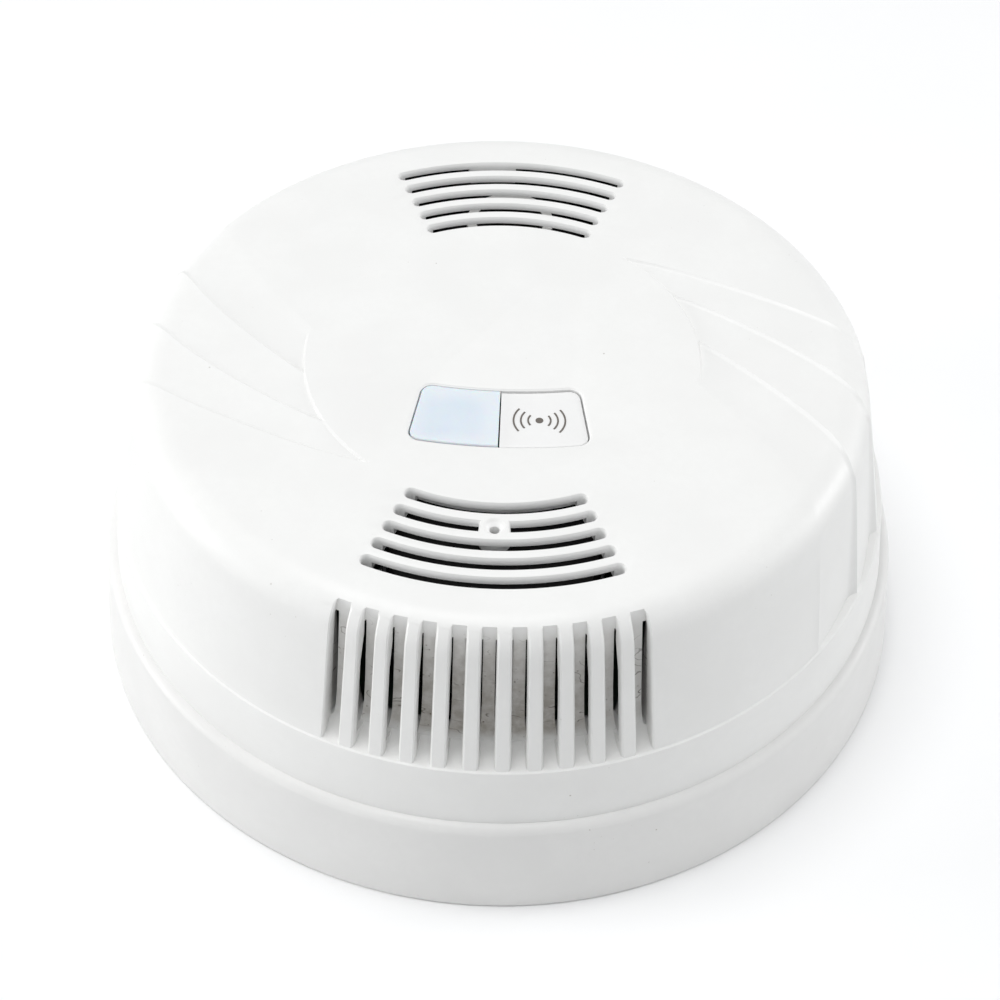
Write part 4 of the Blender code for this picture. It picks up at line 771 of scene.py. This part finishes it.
def make_base(surface):
    edge, soft = 0.0004, 0.0003
    outline = [(CABLE_HOLE_RADIUS + soft, 0.0)] + arc((BASE_RADIUS - edge, edge), edge, -90.0, 4.0, 4)
    outline += [(BASE_RADIUS - 0.0006, 0.0070), (0.05285, 0.0118)]
    outline += arc((0.0514, 0.0126), 0.0015, 20.0, 88.0, 9)
    outline += arc((BASE_BORE + edge, BASE_HEIGHT - edge), edge, 100.0, 180.0, 3)
    outline += [(BASE_BORE, BASE_FLOOR + soft), (BASE_BORE - soft, BASE_FLOOR)]
    outline += [(CABLE_HOLE_RADIUS + soft, BASE_FLOOR), (CABLE_HOLE_RADIUS, BASE_FLOOR - soft)]
    outline += [(CABLE_HOLE_RADIUS, soft)]
    bm = bmesh.new()
    turned(bm, outline, 180)
    base = new_object("base_ring", bm)
    sunk = BASE_FLOOR - 0.0008
    lip = [(HOOK_POST, sunk), (HOOK_OUTER, sunk), (HOOK_OUTER, HOOK_TOP), (HOOK_LIP, HOOK_TOP),
           (HOOK_LIP, HOOK_LIP_BOTTOM), (HOOK_POST, HOOK_LIP_BOTTOM)]
    stop = [(HOOK_LIP, sunk), (HOOK_OUTER, sunk), (HOOK_OUTER, HOOK_TOP), (HOOK_LIP, HOOK_TOP)]
    hooks, stops, holes = bmesh.new(), bmesh.new(), bmesh.new()
    for angle in HOOK_ANGLES:
        start = angle - HOOK_HALF_ANGLE
        wedge(hooks, lip, start, angle + HOOK_HALF_ANGLE, 8)
        wedge(stops, stop, start - 2.0, start + 0.2, 2)
    for side in (-1.0, 1.0):
        outline = keyhole(side * KEYHOLE_OFFSET)
        layers(holes, [(-THROUGH, outline), (BASE_FLOOR + THROUGH, outline)])
    carve(base, hooks, "UNION")
    carve(base, stops, "UNION")
    carve(base, holes, "DIFFERENCE")
    finished(base, "mounting_base", "base", surface, 24.0)


# Button, its mark and the lens -----------------------------------------------------------
def window_pane(bm, start, end, round_start, round_end, top, dish):
    """The button's or the lens's pane: softly edged, slightly dished, with a flange behind the cover."""
    clear = math.degrees(PANE_SPLIT / 2.0 / WINDOW_RADII[1])
    start += 0.0 if round_start else clear
    end -= 0.0 if round_end else clear
    reach, thick = PANE_FLANGE
    high = TOP - COVER_THICKNESS - GAP
    steps = [(high - thick, -reach), (high, -reach), (high, PANE_SPLIT)]
    for drop, inset in ((1.0, 0.0), (0.45, 0.16), (0.12, 0.5), (0.0, 1.0)):
        steps.append((top - PANE_EDGE * drop, PANE_SPLIT + PANE_EDGE * inset))
    steps += [(top - dish * 0.5, PANE_SPLIT + 0.0006), (top - dish, PANE_SPLIT + 0.0012)]
    levels = []
    for height, inset in steps:
        levels.append((height, window_outline(start, end, inset, round_start, round_end)))
    layers(bm, levels)


def make_button(surface):
    x, y = WINDOW_COLUMN
    bm = bmesh.new()
    window_pane(bm, 0.0, WINDOW_HALF_ANGLE, False, True, BUTTON_TOP, 0.00004)
    button = new_object("button_cap", bm)
    stem = bmesh.new()
    rod(stem, STEM_RADIUS, (x, y, STEM_FOOT), (x, y, TOP - COVER_THICKNESS - THROUGH))
    carve(button, stem, "UNION")
    finished(button, "test_button", "button", surface, 30.0)


def make_mark(surface):
    """A generic sound mark on the button: a dot with arcs on both sides."""
    x, y = WINDOW_COLUMN[0] - 0.0011, WINDOW_COLUMN[1] + 0.0009
    low, high = BUTTON_TOP - 0.0001, BUTTON_TOP + 0.000006
    dot, arcs, half, spread = 0.00048, (0.0014, 0.0023, 0.0032), 0.00011, 38.0
    outlines = [arc((x, y), dot, 0.0, 345.0, 23)]
    for side in (0.0, 180.0):
        for radius in arcs:
            outline = arc((x, y), radius + half, side - spread, side + spread, 20)
            outlines.append(outline + arc((x, y), radius - half, side + spread, side - spread, 20))
    bm = bmesh.new()
    for outline in outlines:
        layers(bm, [(low, outline), (high, outline)])
    mark = new_object("button_mark", bm)
    finished(mark, None, "button", surface, 30.0)


def make_lens(surface):
    x, y = -WINDOW_COLUMN[0], WINDOW_COLUMN[1]
    bm = bmesh.new()
    window_pane(bm, -WINDOW_HALF_ANGLE, 0.0, True, False, LENS_TOP, 0.00002)
    lens = new_object("lens_pane", bm)
    pipe = bmesh.new()
    rod(pipe, PIPE_RADII[0], (x, y, PIPE_FOOT), (x, y, TOP - COVER_THICKNESS - THROUGH),
        end_radius=PIPE_RADII[1])
    carve(lens, pipe, "UNION")
    finished(lens, "indicator_lens", "head", surface, 30.0)


# Camera and studio -----------------------------------------------------------------------
def make_camera():
    """The photograph's viewpoint: 46 degrees above the floor, looking at the grille."""
    elevation, distance, turn = math.radians(46.011), 0.306946, math.radians(1.0)
    yaw, pitch, roll = math.radians(0.011), math.radians(-0.449), math.radians(1.272)
    place = Vector((0.0, -distance * math.cos(elevation), distance * math.sin(elevation) + 0.020))
    forward = Vector((0.0, math.cos(elevation), -math.sin(elevation)))
    right = Vector((1.0, 0.0, 0.0))
    up = right.cross(forward)
    level = forward * math.cos(yaw) + right * math.sin(yaw)
    look = level * math.cos(pitch) + up * math.sin(pitch)
    right = look.cross(up).normalized()
    up = right.cross(look)
    across = right * math.cos(roll) + up * math.sin(roll)
    upward = up * math.cos(roll) - right * math.sin(roll)
    axes = Matrix((across, upward, -look)).transposed().to_4x4()
    camera = bpy.data.objects.new("camera", bpy.data.cameras.new("camera"))
    camera.data.sensor_width = 36.0
    camera.data.lens = 82.42
    camera.data.clip_start = 0.01
    camera.matrix_world = Matrix.Rotation(turn, 4, "Z") @ Matrix.Translation(place) @ axes
    bpy.context.scene.collection.objects.link(camera)
    bpy.context.scene.camera = camera


def area_light(name, place, target, size, power, colour=(1.0, 1.0, 1.0)):
    lamp = bpy.data.lights.new(name, "AREA")
    lamp.shape = "DISK"
    lamp.size = size
    lamp.energy = power
    lamp.color = colour
    light = bpy.data.objects.new(name, lamp)
    light.location = place
    light.rotation_euler = (Vector(target) - Vector(place)).to_track_quat("-Z", "Y").to_euler()
    bpy.context.scene.collection.objects.link(light)


def make_studio():
    world = bpy.data.worlds.new("studio")
    world.use_nodes = True
    world.node_tree.nodes["Background"].inputs["Color"].default_value = (0.97, 0.985, 1.0, 1.0)
    world.node_tree.nodes["Background"].inputs["Strength"].default_value = 0.49
    bpy.context.scene.world = world
    area_light("overhead", (-0.10, 0.00, 0.75), (0.0, 0.0, 0.02), 0.45, 2.90)
    area_light("left_fill", (-0.70, -0.02, 0.14), (0.0, 0.0, 0.03), 0.30, 1.70)
    area_light("right_fill", (0.70, 0.20, 0.22), (0.0, 0.0, 0.03), 0.30, 1.4)
    bpy.context.scene.view_settings.view_transform = "Standard"

    bm = bmesh.new()
    bmesh.ops.create_grid(bm, x_segments=8, y_segments=8, size=1.5)
    floor = new_object("floor", bm)
    s = Surface("floor_white", 0.85)
    tone = s.blend(s.ramp(s.noise(0.05, 4.0), 0.3, 0.7), (0.955, 0.955, 0.955), (0.945, 0.946, 0.948))
    floor.data.materials.append(s.done(tone, None, s.relief(s.noise(0.0008, 3.0), 0.00001)))


# Materials of the pieces that stay as the CAD made them ----------------------------------
def dress_cad_nodes():
    # The housing's and the sounder's colours carry painted shade on their inner surfaces
    white = plastic("housing_white_fine", (0.74, 0.74, 0.72), (0.70, 0.70, 0.68), 0.50, 0.4,
                    marks_and_painted_light=painted_shade_above(0.0120))
    sounder = plastic("sounder_white_fine", (0.80, 0.80, 0.78), (0.76, 0.76, 0.74), 0.45, 0.2,
                      marks_and_painted_light=port_painted_shade)
    black = plastic("chamber_black_fine", (0.0035, 0.0035, 0.0040), (0.0060, 0.0058, 0.0055), 0.62, 0.12,
                    (0.05, 0.047, 0.04), Specular_IOR_Level=0.12)
    steel = metal("screw_steel_fine", (0.63, 0.63, 0.64), (0.48, 0.47, 0.46), 0.30)
    surfaces = {
        ("rear_housing", "battery_door"): white,
        ("sounder_housing",): sounder,
        ("chamber_base", "chamber_cap", "battery_snap", "switch_body", "switch_plunger"): black,
        tuple(f"{kind}_screw_{number}" for kind in ("cover", "board") for number in (1, 2, 3, 4)): steel,
        ("circuit_board",): circuit_green(),
        ("microcontroller",): plastic("chip_grey_fine", (0.045, 0.045, 0.048), (0.055, 0.055, 0.056),
                                      0.50, 0.2),
        ("capacitor",): wrap("capacitor_sleeve_fine", (0.045, 0.060, 0.130), (0.055, 0.070, 0.140)),
        ("battery",): wrap("battery_wrap_fine", (0.060, 0.110, 0.260), (0.55, 0.55, 0.54)),
        ("step_up_coil",): plastic("ferrite_fine", (0.075, 0.070, 0.068), (0.100, 0.092, 0.088), 0.58, 0.3),
        ("amplifier_shield",): metal("tinned_steel_fine", (0.68, 0.69, 0.70), (0.55, 0.55, 0.56), 0.28),
        ("insect_screen",): metal("screen_grey_fine", (0.030, 0.030, 0.032), (0.018, 0.018, 0.020), 0.50, 0.2),
        ("sounder_disc",): metal("bare_brass_fine", (0.78, 0.58, 0.27), (0.55, 0.38, 0.16), 0.32),
        ("sounder_ceramic",): plastic("ceramic_fine", (0.76, 0.74, 0.68), (0.70, 0.68, 0.62), 0.40, 0.2),
        ("infrared_emitter",): plastic("emitter_fine", (0.45, 0.52, 0.66), (0.40, 0.46, 0.60), 0.14, 0.1),
        ("photodiode",): plastic("photodiode_fine", (0.035, 0.035, 0.050), (0.050, 0.048, 0.060), 0.16, 0.1),
        ("status_lamp",): plastic("lamp_red_fine", (0.58, 0.04, 0.03), (0.50, 0.03, 0.03), 0.14, 0.1),
        ("lead_red",): plastic("lead_red_fine", (0.52, 0.03, 0.025), (0.44, 0.025, 0.02), 0.44, 0.2),
        ("lead_black",): plastic("lead_black_fine", (0.022, 0.022, 0.022), (0.032, 0.031, 0.030), 0.44, 0.2),
    }
    for names, surface in surfaces.items():
        for name in names:
            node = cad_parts[name]
            node.data.materials.clear()
            node.data.materials.append(surface)


make_camera()
make_studio()
dress_cad_nodes()
make_cover(plastic("cover_white_fine", (0.864, 0.864, 0.851), (0.844, 0.843, 0.830), 0.44, 0.50,
                   marks_and_painted_light=grille_dirt_and_painted_light))
make_base(plastic("base_white_fine", (0.808, 0.805, 0.793), (0.786, 0.783, 0.772), 0.42, 0.75))
make_button(plastic("button_white_fine", (0.862, 0.862, 0.855), (0.842, 0.840, 0.832), 0.40, 0.5))
make_mark(plastic("mark_grey_fine", (0.120, 0.105, 0.090), (0.160, 0.142, 0.125), 0.55, 0.2, grain=0.000004))
make_lens(lens_plastic())
